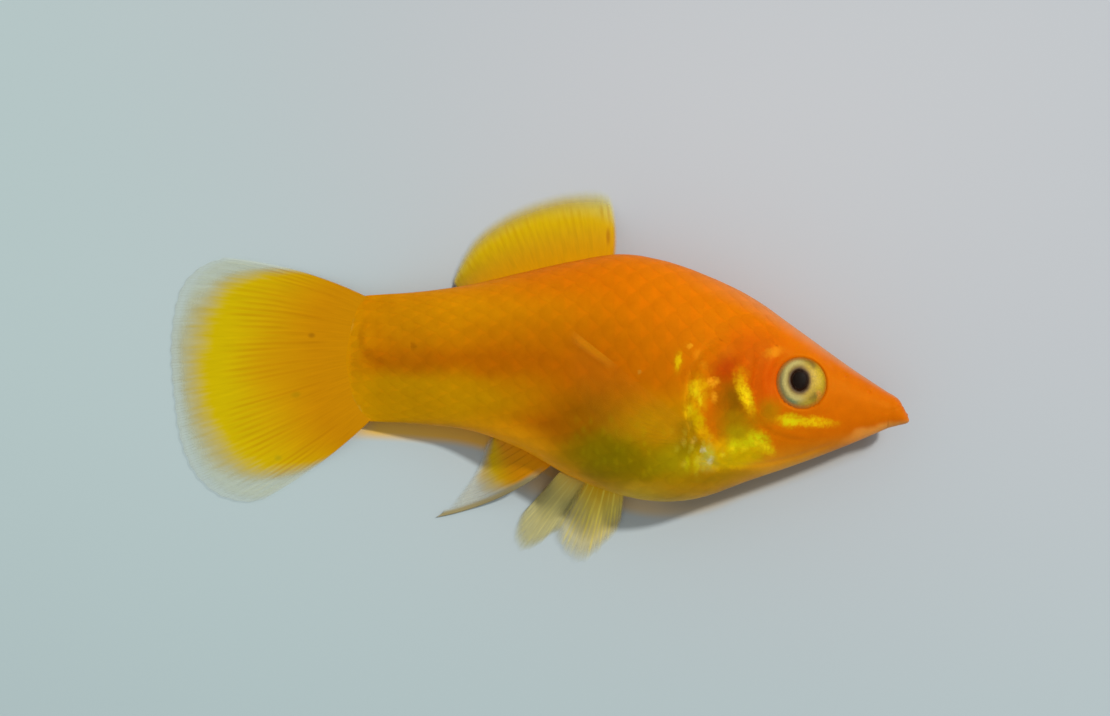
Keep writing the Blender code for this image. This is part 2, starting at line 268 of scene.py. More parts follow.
def along(points, share):
    """A point at a share of the way along a smooth curve through points."""
    lengths = [0.0]
    for a, b in zip(points, points[1:]):
        lengths.append(lengths[-1] + math.dist(a, b))
    knots = [(s / lengths[-1], *p) for s, p in zip(lengths, points)]
    return Vector((smooth_curve(knots, share, 1), smooth_curve(knots, share, 2)))


def ease(share):
    """A soft step from 0 to 1, for a number or an array."""
    share = np.clip(share, 0.0, 1.0)
    return share * share * (3 - 2 * share)


def between(low, high, value):
    """A soft step from 0 at low to 1 at high."""
    return ease((value - low) / (high - low))


def hump(distance, width):
    """1 on a line, falling softly to 0 away from it."""
    return np.exp(-((distance / width) ** 2))


def oval(x, y, centre, half):
    """How far each place is from the middle of an oval, where 1 is its edge."""
    return np.hypot((x - centre[0]) / half[0], (y - centre[1]) / half[1])


# Meshes


def add_object(name, data):
    made = bpy.data.objects.new(name, data)
    bpy.context.scene.collection.objects.link(made)
    return made


def mesh_object(name, points, faces):
    """A smooth-shaded object from points in millimetres and its faces."""
    mesh = bpy.data.meshes.new(name)
    mesh.from_pydata((np.asarray(points, float) * MM).tolist(), [], faces)
    mesh.update()
    mesh.shade_smooth()
    return add_object(name, mesh)


def sheet_faces(rows, columns):
    """A thin closed sheet's faces: a grid of points, the same one under it, and the walls."""
    under = rows * columns
    faces = []
    for i in range(rows - 1):
        for j in range(columns - 1):
            a = i * columns + j
            b = a + columns
            faces.append((a, a + 1, b + 1, b))
            faces.append((under + a, under + b, under + b + 1, under + a + 1))
    edge = [i * columns for i in range(rows)]
    edge += [under - columns + j for j in range(1, columns)]
    edge += [i * columns + columns - 1 for i in range(rows - 2, -1, -1)]
    edge += list(range(columns - 2, 0, -1))
    faces += [(b, a, under + a, under + b) for a, b in zip(edge, edge[1:] + edge[:1])]
    return faces


def tube_faces(rings, around):
    """Quads between rings of points, and a fan to one more point at each end."""
    faces = []
    last, ends = (rings - 1) * around, rings * around
    for ring in range(0, last, around):
        for j in range(around):
            k, following = (j + 1) % around, ring + around
            faces.append((ring + j, ring + k, following + k, following + j))
    for j in range(around):
        k = (j + 1) % around
        faces += [(k, j, ends), (last + j, last + k, ends + 1)]
    return faces


def edit_mesh(mesh, change):
    """Makes one change to a mesh's points, edges and faces."""
    bm = bmesh.new()
    bm.from_mesh(mesh)
    change(bm)
    bm.to_mesh(mesh)
    bm.free()


def turn_outwards(mesh):
    edit_mesh(mesh, lambda bm: bmesh.ops.recalc_face_normals(bm, faces=bm.faces))


def store(mesh, name, values):
    """Keeps one number or one vector for each point of a mesh."""
    values = np.asarray(values, np.float32)
    kind, field = ("FLOAT", "value") if values.ndim == 1 else ("FLOAT_VECTOR", "vector")
    attribute = mesh.attributes.new(name, kind, "POINT")
    attribute.data.foreach_set(field, values.ravel())


def finish_with(piece, material, slot, *replaced):
    """Gives a finished piece its material, its body and what it stands for."""
    piece.data.materials.clear()
    piece.data.materials.append(material)
    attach(piece, "root")
    if replaced:
        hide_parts(*replaced)


# Node trees


def feed(tree, socket, value):
    """Links a socket to another node's output, or sets it to a plain value."""
    if isinstance(value, bpy.types.NodeSocket):
        tree.links.new(value, socket)
    else:
        socket.default_value = value


def step(tree, kind, inputs=None, **settings):
    """Adds a node with its settings, and feeds its inputs, named or numbered."""
    node = tree.nodes.new(kind)
    for name, value in settings.items():
        setattr(node, name, value)
    for socket, value in (inputs or {}).items():
        feed(tree, node.inputs[socket], value)
    return node


def calc(tree, operation, *values, clamp=False):
    """One sum on numbers."""
    inputs = dict(enumerate(values))
    node = step(tree, "ShaderNodeMath", inputs, operation=operation, use_clamp=clamp)
    return node.outputs[0]


def product(tree, *values):
    """The product of numbers."""
    total = values[0]
    for value in values[1:]:
        total = calc(tree, "MULTIPLY", total, value)
    return total


def vector_calc(tree, operation, *values):
    """One sum on vectors."""
    node = step(tree, "ShaderNodeVectorMath", dict(enumerate(values)), operation=operation)
    return node.outputs["Value" if operation == "LENGTH" else "Vector"]


def scaled(tree, vector, factor):
    inputs = {0: vector, "Scale": factor}
    return step(tree, "ShaderNodeVectorMath", inputs, operation="SCALE").outputs["Vector"]


def joined(tree, x=0.0, y=0.0, z=0.0):
    return step(tree, "ShaderNodeCombineXYZ", {0: x, 1: y, 2: z}).outputs[0]


def parted(tree, vector):
    """The three numbers of a vector."""
    return step(tree, "ShaderNodeSeparateXYZ", {0: vector}).outputs[:3]


def soft_step(tree, value, low, high, top=1.0):
    """A mask that rises softly from 0 at low to top at high, or falls if low is the larger."""
    inputs = {"Value": value, "From Min": low, "From Max": high, "To Max": top}
    node = step(tree, "ShaderNodeMapRange", inputs, interpolation_type="SMOOTHSTEP")
    return node.outputs["Result"]


def blend_numbers(tree, mask, below, above):
    inputs = {0: mask, 2: below, 3: above}
    return step(tree, "ShaderNodeMix", inputs, data_type="FLOAT").outputs[0]


def blend_colours(tree, mask, below, above, blend_type="MIX"):
    inputs = {0: mask, 6: below, 7: above}
    node = step(tree, "ShaderNodeMix", inputs, data_type="RGBA", blend_type=blend_type)
    return node.outputs[2]


def shaded(tree, colour, level):
    """A colour made darker or lighter by a number."""
    shade = step(tree, "ShaderNodeCombineColor", {0: level, 1: level, 2: level}).outputs[0]
    return blend_colours(tree, 1.0, colour, shade, "MULTIPLY")


def noise(tree, place, scale, detail=2.0, dimensions="3D"):
    inputs = {"Vector": place, "Scale": scale, "Detail": detail}
    return step(tree, "ShaderNodeTexNoise", inputs, noise_dimensions=dimensions)


def curve_through(tree, value, points):
    """A smooth curve through points of (place, height), both from 0 to 1."""
    node = step(tree, "ShaderNodeFloatCurve", {"Value": value})
    curve = node.mapping.curves[0]
    curve.points[0].location = points[0]
    curve.points[-1].location = points[-1]
    for place in points[1:-1]:
        curve.points.new(*place)
    node.mapping.update()
    return node.outputs[0]


def spot_mask(tree, place, centre, half, turn=0.0, soft=0.5, strength=1.0):
    """A soft oval mask round a centre, in the units of place."""
    inputs = {
        "Vector": place,
        "Location": (*centre, 0.0),
        "Rotation": (0.0, 0.0, math.radians(turn)),
        "Scale": (*half, 1.0),
    }
    local = step(tree, "ShaderNodeMapping", inputs, vector_type="TEXTURE").outputs[0]
    distance = vector_calc(tree, "LENGTH", local)
    return soft_step(tree, distance, 1.0 + soft, 1.0 - soft, strength)


def add_patches(tree, place, colour, patches):
    """Lays soft ovals over a colour: centre, half sizes, turn, strength and colour of each."""
    for centre, half, turn, strength, shade in patches:
        mask = spot_mask(tree, place, centre, half, turn, PATCH_SOFTNESS, strength)
        colour = blend_colours(tree, mask, colour, linear(shade))
    return colour


def group(kind, name, inputs, outputs):
    """A new node group with named sockets: the tree, its input node and its output node."""
    tree = bpy.data.node_groups.new(name, kind)
    for label, socket, value in inputs:
        made = tree.interface.new_socket(label, in_out="INPUT", socket_type=socket)
        if value is not None:
            made.default_value = value
    for label, socket in outputs:
        tree.interface.new_socket(label, in_out="OUTPUT", socket_type=socket)
    return tree, tree.nodes.new("NodeGroupInput"), tree.nodes.new("NodeGroupOutput")


def use_group(tree, shared, **inputs):
    """Places a shared shader group in a material, and gives its outputs."""
    return step(tree, "ShaderNodeGroup", inputs, node_tree=shared).outputs


def new_material(name, shader_values):
    """A Principled material with plain values on its own sockets: its tree and its shader."""
    made = bpy.data.materials.new(name)
    made.use_nodes = True
    shader = made.node_tree.nodes["Principled BSDF"]
    for socket, value in shader_values.items():
        shader.inputs[socket].default_value = value
    return made, made.node_tree, shader


def feed_surface(tree, shader, roughness, height, strength, depth):
    """Gives a shader its roughness and its bumps, of a depth in millimetres."""
    feed(tree, shader.inputs["Roughness"], roughness)
    inputs = {"Height": height, "Strength": strength, "Distance": depth * MM}
    feed(tree, shader.inputs["Normal"], step(tree, "ShaderNodeBump", inputs).outputs[0])


def body_place(tree):
    """The place on the object in millimetres."""
    coordinates = step(tree, "ShaderNodeTexCoord").outputs["Object"]
    inputs = {"Vector": coordinates, "Scale": (1 / MM, 1 / MM, 1 / MM)}
    return step(tree, "ShaderNodeMapping", inputs).outputs[0]


# Markings. They depend on X and Y alone, so both flanks carry the same ones.

# Broad washes of colour: centre, half sizes, turn, softness, strength and paint.
WASHES = (
    ((-10.0, 5.6), (13.0, 3.4), -4, 0.8, 0.85, "stem amber"),
    ((-11.5, -2.1), (11.5, 3.1), 3, 0.5, 0.95, "ochre"),
    ((-6.8, 1.2), (9.0, 1.15), 1, 0.8, 0.7, "band"),
    ((2.6, 0.6), (7.5, 2.2), 0, 0.9, 0.6, "band"),
    # painted light: the tail stem's end is painted lighter against the shade of its downward slope
    ((-19.0, 1.3), (2.6, 6.5), 0, 0.6, 0.8, "stem end painted light"),
    ((29.5, -2.6), (8.0, 5.5), -30, 0.6, 0.8, "head orange"),
    ((0.5, 3.8), (8.5, 1.8), 2, 0.8, 0.45, "band"),
    ((20.2, 0.6), (3.2, 3.6), 0, 0.7, 0.75, "red orange"),
    ((10.2, -6.2), (5.8, 3.8), 10, 0.6, 0.85, "dull gold"),
    ((4.4, -4.0), (3.6, 2.6), 25, 0.8, 0.70, "umber"),
    ((8.2, -8.4), (6.0, 2.2), -4, 0.6, 0.86, "olive"),
    ((6.0, -7.1), (2.8, 1.7), -10, 0.7, 0.60, "dark olive"),
    ((8.6, -8.8), (3.0, 1.0), 0, 0.8, 0.25, "dark olive"),
    ((13.2, -7.9), (2.4, 1.7), 0, 0.7, 0.70, "moss"),
    ((8.8, -12.2), (7.0, 1.7), 2, 0.6, 0.85, "sand"),
    # the belly's lower edge by the vent, in the brightened tan that paints light there
    ((0.6, -8.6), (3.4, 1.0), -26, 0.8, 0.70, "tan"),
    ((16.0, -10.3), (5.0, 1.2), 8, 0.8, 0.70, "bronze olive"),
    ((17.8, -7.4), (3.4, 1.4), 8, 0.5, 0.85, "yellow"),
    ((24.0, -6.8), (3.4, 1.3), 12, 0.7, 0.55, "band"),
    ((31.8, -5.35), (2.6, 0.45), 20, 0.8, 0.75, "pale chin"),
)
# Small marks, with the glint of metal last.
MARKS = (
    # the gill cover's ground
    ((17.65, 0.50), (1.25, 1.15), 0, 0.8, 0.90, "red", 0.0),
    ((21.50, -0.40), (1.15, 1.90), 0, 0.8, 0.80, "red orange", 0.0),
    ((16.15, -4.00), (0.90, 2.20), 10, 0.8, 0.80, "deep orange", 0.0),
    ((18.26, -2.40), (1.05, 1.75), 8, 0.8, 0.95, "bronze", 0.0),
    ((18.65, -4.30), (1.80, 1.00), 0, 0.8, 0.80, "bronze olive", 0.0),
    ((18.60, -5.45), (1.40, 0.70), 0, 0.8, 0.80, "moss", 0.0),
    ((14.00, -4.75), (0.90, 0.80), 0, 0.8, 0.75, "bronze olive", 0.0),
    ((14.20, -6.60), (1.10, 1.10), 0, 0.8, 0.60, "olive", 0.0),
    # painted shade: a dark strip under the gill cover's lower edge
    ((17.00, -9.40), (2.80, 0.60), 8, 0.8, 0.80, "bronze olive", 0.0),
    ((21.70, -3.35), (0.90, 1.00), 0, 0.8, 0.65, "bronze olive", 0.0),
    ((17.00, -2.40), (0.60, 1.50), 0, 0.8, 0.45, "brown", 0.0),
    ((17.30, -5.60), (0.45, 0.80), 20, 0.8, 0.40, "brown", 0.0),
    # the golden band along its lower edge
    ((17.80, -7.60), (2.10, 0.95), -2, 0.6, 0.95, "deep yellow", 0.08),
    ((17.20, -6.70), (0.70, 0.70), 0, 0.9, 0.75, "amber gold", 0.08),
    ((18.26, -6.60), (0.50, 0.62), 0, 0.8, 0.85, "lime", 0.12),
    ((19.50, -6.35), (0.90, 0.50), 8, 0.8, 0.70, "lime", 0.08),
    ((20.55, -6.10), (0.95, 0.70), -20, 0.8, 0.95, "lime", 0.12),
    ((21.40, -6.92), (0.80, 0.42), -28, 0.7, 0.95, "gold", 0.12),
    ((20.10, -7.50), (1.10, 0.55), 10, 0.8, 0.70, "deep yellow", 0.05),
    # the cheek's bright streak
    ((18.95, 0.00), (0.60, 0.75), 10, 0.9, 0.50, "amber gold", 0.05),
    ((19.33, -1.85), (0.55, 1.50), 22, 0.7, 1.0, "gold", 0.15),
    ((19.50, -1.90), (0.36, 0.80), 18, 0.8, 0.75, "bright gold", 0.15),
    # the crescent behind it
    ((14.13, 2.74), (0.26, 0.25), 0, 0.7, 0.90, "apricot", 0.08),
    ((13.12, 1.27), (0.42, 0.95), -10, 0.8, 0.45, "dull gold", 0.0),
    ((13.12, 1.27), (0.24, 0.66), -10, 0.7, 0.85, "gold", 0.12),
    ((14.90, 2.00), (0.40, 0.42), 0, 0.9, 0.30, "apricot", 0.05),
    ((15.45, 0.95), (0.34, 0.36), 0, 0.9, 0.30, "apricot", 0.05),
    ((14.80, -2.00), (0.95, 1.70), -6, 0.8, 0.80, "amber gold", 0.10),
    ((14.69, -1.25), (0.56, 0.66), 0, 0.8, 0.95, "bright gold", 0.18),
    ((15.55, -0.85), (0.85, 0.38), 12, 0.8, 0.80, "amber gold", 0.10),
    ((16.36, -0.61), (0.50, 0.38), 0, 0.7, 0.95, "apricot", 0.12),
    ((16.40, -1.99), (0.28, 0.48), 0, 0.8, 0.80, "apricot", 0.08),
    ((14.15, -3.35), (0.46, 0.62), 0, 0.8, 0.85, "gold", 0.12),
    ((15.05, -4.45), (0.52, 1.20), 20, 0.8, 0.85, "deep yellow", 0.12),
    ((15.85, -5.70), (0.45, 1.15), 32, 0.8, 0.80, "amber gold", 0.10),
    ((14.51, -6.06), (0.26, 0.28), 0, 0.8, 0.70, "bone", 0.08),
    ((13.55, -6.20), (0.20, 0.34), 0, 0.8, 0.40, "bone", 0.05),
    ((15.89, -7.20), (0.50, 0.66), 0, 0.8, 0.85, "pale lime", 0.12),
    ((15.80, -8.20), (0.75, 0.65), 0, 0.9, 0.65, "sea grey", 0.05),
    ((14.80, -8.30), (0.22, 0.70), 0, 0.9, 0.50, "lime", 0.08),
    ((13.95, -8.20), (0.22, 0.60), 0, 0.9, 0.50, "lime", 0.08),
    # the brightest specks: gold flecks, partly painted glints, and pearl specks that are painted
    # highlights
    ((20.55, -6.30), (0.32, 0.22), -20, 0.9, 0.90, "bright gold", 0.15),
    ((21.30, -6.75), (0.34, 0.18), -28, 0.9, 0.90, "bright gold", 0.15),
    ((19.30, -6.85), (0.26, 0.20), 0, 0.9, 0.80, "bright gold", 0.15),
    ((18.20, -6.85), (0.22, 0.30), 0, 0.9, 0.85, "bright gold", 0.15),
    ((17.20, -7.45), (0.34, 0.16), 10, 0.9, 0.80, "bright gold", 0.15),
    ((15.10, -2.30), (0.20, 0.40), 0, 0.9, 0.80, "bright gold", 0.15),
    ((14.15, -3.10), (0.18, 0.30), 0, 0.9, 0.80, "bright gold", 0.15),
    ((16.10, -7.95), (0.22, 0.34), 0, 0.9, 0.70, "pearl highlight", 0.10),
    ((15.45, -6.95), (0.16, 0.24), 0, 0.9, 0.60, "pearl highlight", 0.10),
    # round the eye
    ((22.00, 2.16), (0.80, 0.38), 14, 0.8, 0.50, "apricot", 0.0),
    ((25.10, -4.32), (2.40, 0.46), -4, 0.6, 0.95, "gold", 0.12),
    ((23.55, -4.25), (0.75, 0.55), 0, 0.8, 0.80, "lime", 0.12),
    # the flank and the tail's end
    ((9.56, 0.29), (0.20, 0.18), 0, 0.6, 0.3, "bone", 0.0),
    ((-17.72, 4.50), (0.13, 0.75), -24, 0.8, 0.30, "bone", 0.0),
    ((-18.30, 2.60), (0.13, 1.10), -8, 0.8, 0.40, "bone", 0.0),
    ((-18.32, 0.20), (0.13, 1.10), 6, 0.8, 0.40, "bone", 0.0),
    ((-17.85, -1.70), (0.13, 1.00), 24, 0.8, 0.40, "bone", 0.0),
    ((-16.95, -3.20), (0.13, 0.75), 32, 0.8, 0.30, "bone", 0.0),
    ((-16.50, 4.60), (0.30, 0.60), -20, 0.8, 0.25, "brown", 0.0),
    ((-16.75, 3.40), (0.28, 0.75), 10, 0.8, 0.35, "brown", 0.0),
    ((-16.05, 2.00), (0.60, 0.36), -40, 0.8, 0.45, "brown", 0.0),
    ((-15.05, 1.32), (0.70, 0.32), -10, 0.8, 0.40, "brown", 0.0),
    ((-11.72, 2.75), (0.22, 0.40), 12, 0.6, 0.55, "brown", 0.0),
)
# Where the gold and green flecks show: centre, half sizes, paint and strength.
FLECK_REGIONS = (
    ((15.0, -7.0), (2.6, 2.2), "pale lime", 0.35),
    ((11.8, -7.4), (3.4, 2.4), "deep yellow", 0.25),
    ((7.5, -6.5), (5.0, 3.2), "moss", 0.30),
)
FLECKS_PER_MM = 1.6
# Where the ground changes, by the share of the way down from the back to the belly.
AMBER_SHARES = (0.08, 0.55)
BELLY_EDGE_SHARES = (0.78, 0.95)
HEAD_TOP_SHARES = (0.12, 0.0)
HEAD_TOP_STRENGTH = 0.65
HEAD_FADE_X = (12.0, 30.0)
# How far the edges of the washes and the marks wander, and how fine that is.
WASH_WANDER = ((1.6, 1.2, 0.0), 0.35)
MARK_WANDERS = (((0.45, 0.45, 0.0), 1.3), ((0.34, 0.34, 0.0), 4.5))
# Metal marks are broken up, as if by dust: how fine, between which values, how much, and the
# least that shows.
DUST_FINENESS = 2.4
DUST_RANGE = (0.34, 0.56, 0.50)
DUST_LEAST = 0.54
# The clouds and the grain of the colour's depth: how fine, how detailed and how strong.
CLOUDS = (0.8, 3.0, 0.20)
FINE_GRAIN = (7.0, 2.0, 0.08)
DEPTH_LEAST = 0.86


def outline_line(tree, x, column):
    """The place along Y of the back, column 1, or of the belly, column 2."""
    low, high = SECTIONS[0][0], SECTIONS[-1][0]
    inputs = {"Value": x, "From Min": low, "From Max": high}
    way = step(tree, "ShaderNodeMapRange", inputs).outputs["Result"]
    reach, middle = 30.0, 0.5
    points = [((row[0] - low) / (high - low), middle + row[column] / reach) for row in SECTIONS]
    height = calc(tree, "SUBTRACT", curve_through(tree, way, points), middle)
    return calc(tree, "MULTIPLY", height, reach)


def outline_share(tree, x, y):
    """How far a place lies from the back, 0, to the belly, 1."""
    back, belly = outline_line(tree, x, 1), outline_line(tree, x, 2)
    below_back = calc(tree, "SUBTRACT", back, y)
    return calc(tree, "DIVIDE", below_back, calc(tree, "SUBTRACT", back, belly))


def flattened(tree, place):
    """A place seen from above, without its height."""
    return vector_calc(tree, "MULTIPLY", place, (1.0, 1.0, 0.0))


def warped(tree, flat, amount, scale):
    """A flat place pushed about by noise, so that the marks' edges are uneven."""
    push = noise(tree, flat, scale, 2.0, "2D").outputs["Color"]
    centred = vector_calc(tree, "SUBTRACT", push, (0.5, 0.5, 0.5))
    return vector_calc(tree, "ADD", flat, vector_calc(tree, "MULTIPLY", centred, amount))


def markings_group():
    """The fish's colours and gold glints at a place in millimetres."""
    tree, given, made = group(
        "ShaderNodeTree",
        "molly markings",
        [("Place", "NodeSocketVector", None)],
        [("Colour", "NodeSocketColor"), ("Glint", "NodeSocketFloat")],
    )
    flat = flattened(tree, given.outputs["Place"])
    x, y = parted(tree, flat)[:2]
    share = outline_share(tree, x, y)
    low_down = soft_step(tree, share, *AMBER_SHARES)
    colour = blend_colours(tree, low_down, paint("orange"), paint("amber"))

    # The pale, thin edge of the belly: partly its own pale colour, partly painted light,
    # brightened for the light that comes through it and against the shade that falls on the lower
    # side.
    forwards = soft_step(tree, x, *HEAD_FADE_X)
    lit_belly_edge = soft_step(tree, share, *BELLY_EDGE_SHARES)
    lit_low_edge = blend_colours(tree, forwards, paint("tan"), paint("chin"))
    colour = blend_colours(tree, lit_belly_edge, colour, lit_low_edge)

    broad = warped(tree, flat, *WASH_WANDER)
    for centre, half, turn, soft, strength, name in WASHES:
        mask = spot_mask(tree, broad, centre, half, turn, soft, strength)
        colour = blend_colours(tree, mask, colour, paint(name))

    # The thin edge of the head's top.
    top_edge = soft_step(tree, share, *HEAD_TOP_SHARES, HEAD_TOP_STRENGTH)
    top_mask = product(tree, top_edge, forwards)
    colour = blend_colours(tree, top_mask, colour, paint("peach"))

    fine = flat
    for wander, fineness in MARK_WANDERS:
        fine = warped(tree, fine, wander, fineness)
    dust = noise(tree, flat, DUST_FINENESS, 3.0, "2D").outputs["Fac"]
    dusted = calc(tree, "ADD", soft_step(tree, dust, *DUST_RANGE), DUST_LEAST, clamp=True)
    glint = 0.0
    for centre, half, turn, soft, strength, name, shine in MARKS:
        mask = spot_mask(tree, fine, centre, half, turn, soft, strength)
        if shine:
            mask = product(tree, mask, dusted)
            glint = calc(tree, "MAXIMUM", glint, product(tree, mask, shine))
        colour = blend_colours(tree, mask, colour, paint(name))

    colour, glint = add_flecks(tree, fine, colour, glint)
    colour = add_mottling(tree, flat, colour)
    feed(tree, made.inputs["Colour"], colour)
    feed(tree, made.inputs["Glint"], glint)
    return tree


def add_flecks(tree, flat, colour, glint):
    """Gold and green flecks, thickest on the gill cover and over the belly."""
    upright = vector_calc(tree, "MULTIPLY", flat, (1.0, 0.6, 1.0))
    inputs = {"Vector": upright, "Scale": FLECKS_PER_MM, "Randomness": 1.0}
    cells = step(tree, "ShaderNodeTexVoronoi", inputs, voronoi_dimensions="2D")
    chance = step(tree, "ShaderNodeSeparateColor", {0: cells.outputs["Color"]}).outputs[0]
    chosen = soft_step(tree, chance, 0.45, 0.95)
    small = soft_step(tree, cells.outputs["Distance"], 0.62, 0.05)
    shine = 0.2
    for centre, half, name, strength in FLECK_REGIONS:
        region = spot_mask(tree, flat, centre, half, strength=strength)
        mask = product(tree, chosen, small, region)
        colour = blend_colours(tree, mask, colour, paint(name))
        glint = calc(tree, "MAXIMUM", glint, product(tree, mask, shine))
    return colour, glint


def add_mottling(tree, flat, colour):
    """Uneven depth of colour, in soft clouds and in a fine grain."""
    level = DEPTH_LEAST
    for fineness, detail, strength in (CLOUDS, FINE_GRAIN):
        cloud = noise(tree, flat, fineness, detail, "2D").outputs["Fac"]
        level = calc(tree, "MULTIPLY_ADD", cloud, strength, level)
    return shaded(tree, colour, level)


def grain_group():
    """A fine wet unevenness of a surface, as a height and as a change of roughness."""
    tree, given, made = group(
        "ShaderNodeTree",
        "wet grain",
        [
            ("Place", "NodeSocketVector", None),
            ("Size", "NodeSocketFloat", 1.0),
            ("Roughness", "NodeSocketFloat", 0.4),
            ("Spread", "NodeSocketFloat", 0.1),
        ],
        [("Height", "NodeSocketFloat"), ("Roughness", "NodeSocketFloat")],
    )
    fineness = calc(tree, "DIVIDE", 1.0, given.outputs["Size"])
    place = scaled(tree, given.outputs["Place"], fineness)
    fine = noise(tree, place, 6.0, 3.0).outputs["Fac"]
    slow = noise(tree, place, 1.1, 2.0).outputs["Fac"]
    feed(tree, made.inputs["Height"], fine)
    change = product(tree, calc(tree, "SUBTRACT", slow, 0.5), given.outputs["Spread"])
    rough = calc(tree, "ADD", given.outputs["Roughness"], change, clamp=True)
    feed(tree, made.inputs["Roughness"], rough)
    return tree


def skin_material(name, markings, grain, rim_name=None):
    """Wet fish skin. A coat's scales darken a little towards the rim that rim_name holds."""
    made, tree, shader = new_material(
        name,
        {
            "IOR": 1.3,
            "Specular IOR Level": 0.35,
            "Specular Tint": (1.0, 0.55, 0.05, 1.0),
            "Subsurface Weight": 0.10,
            "Subsurface Radius": (1.0, 0.32, 0.06),
            "Subsurface Scale": 0.5 * MM,
        },
    )
    place = body_place(tree)
    marks = use_group(tree, markings, Place=place)
    surface = use_group(tree, grain, Place=place, Size=1.0, Roughness=0.46, Spread=0.16)
    colour = marks["Colour"]
    if rim_name:
        rim = step(tree, "ShaderNodeAttribute", attribute_name=rim_name).outputs["Fac"]
        mask = soft_step(tree, rim, 0.55, 1.0, 0.05)
        colour = blend_colours(tree, mask, colour, paint("umber"), "MULTIPLY")
    feed(tree, shader.inputs["Base Color"], colour)
    feed(tree, shader.inputs["Metallic"], marks["Glint"])
    smoother = product(tree, marks["Glint"], 0.30)
    roughness = calc(tree, "SUBTRACT", surface["Roughness"], smoother, clamp=True)
    feed_surface(tree, shader, roughness, surface["Height"], 0.25, 0.03)
    return made


# Skin


def body_ring(x, turns):
    """The skin's points at one place along the body, by their turn from the back."""
    back, belly, widest, half_width, middle, back_power, belly_power = section(x)
    across, up = np.sin(turns), np.cos(turns)
    # The flesh thins into the tail fin's base sooner than the CAD's does.
    half_width *= 1 - TAIL_THINNING * float(between(*TAIL_THINS, x))
    half_width *= max(1.0 - tail_reach(x) ** 2, 0.0) ** TAIL_WEDGE
    middle -= TAIL_SETTLING * float(between(*TAIL_SETTLES, x))
    sharp = float(between(*TAIL_SHARPENS, x))
    back_power += (TAIL_EDGE_POWER - back_power) * sharp
    belly_power += (TAIL_EDGE_POWER - belly_power) * sharp
    inset = min(COAT_DEPTH, half_width / 3)
    power = np.where(up > 0, back_power, belly_power)
    reach = np.where(up > 0, back - widest, widest - belly) - inset
    y = widest + reach * np.sign(up) * np.abs(up) ** (2 / power)
    z = middle + (half_width - inset) * np.sign(across) * np.abs(across) ** (2 / power)
    return np.stack([np.full_like(y, x), y, z], 1)


def snout_ring(share, turns):
    """One leaning ring of the blunt snout, from 0 where it starts to 1 at its middle."""
    back, belly, widest, half_width, middle, power, _ = section(SNOUT_START_X)
    rows = [(0.0, SNOUT_START_X, back, SNOUT_START_X, belly, half_width)]
    rows += [(s, *upper, *lower, half) for s, upper, lower, half in SNOUT_RINGS]
    rows.append((1.0, *SNOUT_POLE, *SNOUT_POLE, 0.0))
    top_x, top_y, low_x, low_y, half = [smooth_curve(rows, share, c) for c in range(1, 6)]
    inset = COAT_DEPTH * (1 - ease(share * 3))
    low_y, top_y = low_y + inset, top_y - inset
    waist = (widest - belly) / (back - belly)
    across, up = np.sin(turns), np.cos(turns)
    lift = np.where(up > 0, 1 - waist, waist) * np.sign(up) * np.abs(up) ** (2 / power)
    at = waist + lift
    z = middle + (half - inset) * np.sign(across) * np.abs(across) ** (2 / power)
    return np.stack([low_x + (top_x - low_x) * at, low_y + (top_y - low_y) * at, z], 1)


def skin_rings():
    """All rings of the bare skin, from the tail to the snout."""
    turns = np.arange(AROUND) * 2 * math.pi / AROUND
    first = SECTIONS[0][0]
    steps = [math.sin(math.pi / 2 * k / TAIL_CAP_RINGS) for k in range(1, TAIL_CAP_RINGS)]
    places = [first + (TAIL_STEM_TIP[0] - first) * s for s in reversed(steps)]
    places += list(np.arange(first, HEAD_FROM_X, BODY_STEP))
    places += list(np.arange(HEAD_FROM_X, SNOUT_START_X, HEAD_STEP))
    rings = [body_ring(x, turns) for x in places]
    shares = np.linspace(0.0, 1.0, SNOUT_CAP_RINGS)[:-1]
    return np.array(rings + [snout_ring(s, turns) for s in shares])


def outward_directions(rings):
    """The direction out of the skin at each of its points."""
    forwards = np.gradient(rings, axis=0)
    round_it = np.roll(rings, -1, axis=1) - np.roll(rings, 1, axis=1)
    outwards = np.cross(forwards, round_it)
    lengths = np.linalg.norm(outwards, axis=2, keepdims=True)
    outwards /= np.maximum(lengths, 1e-9)
    middle = rings.mean(axis=1, keepdims=True)
    if ((rings - middle) * outwards).sum() < 0:
        outwards = -outwards
    return outwards


# Furrows and ridges of the head and body, as a path, a height and a width. They fade at
# both ends.
FOLDS = (
    # rear edge of the cheek's plate
    (((20.6, 2.2), (19.7, -0.6), (20.3, -3.8), (22.6, -5.7), (26.0, -6.2)), -0.045, 0.20),
    # front of the cheek's plate
    (((20.9, 2.4), (20.1, -0.6), (20.7, -3.6), (22.9, -5.3), (26.0, -5.8)), 0.035, 0.32),
    # lower edge of the gill cover
    (((15.4, -7.0), (18.6, -8.4), (23.2, -7.9), (28.4, -6.2)), -0.06, 0.20),
    # rib of the gill cover
    (((20.0, 1.6), (17.6, 0.2), (15.0, 0.0)), 0.05, 0.45),
    # fold behind the mouth
    (((33.0, -3.4), (32.4, -3.6), (32.0, -4.2), (31.9, -4.9)), -0.03, 0.18),
    # edge of the upper lip
    (((33.1, -2.9), (32.3, -2.5), (31.9, -1.9)), -0.02, 0.15),
    # line along the flank
    (((13.4, 1.9), (6.0, 1.7), (-4.0, 1.5), (-16.0, 1.4)), -0.025, 0.30),
)


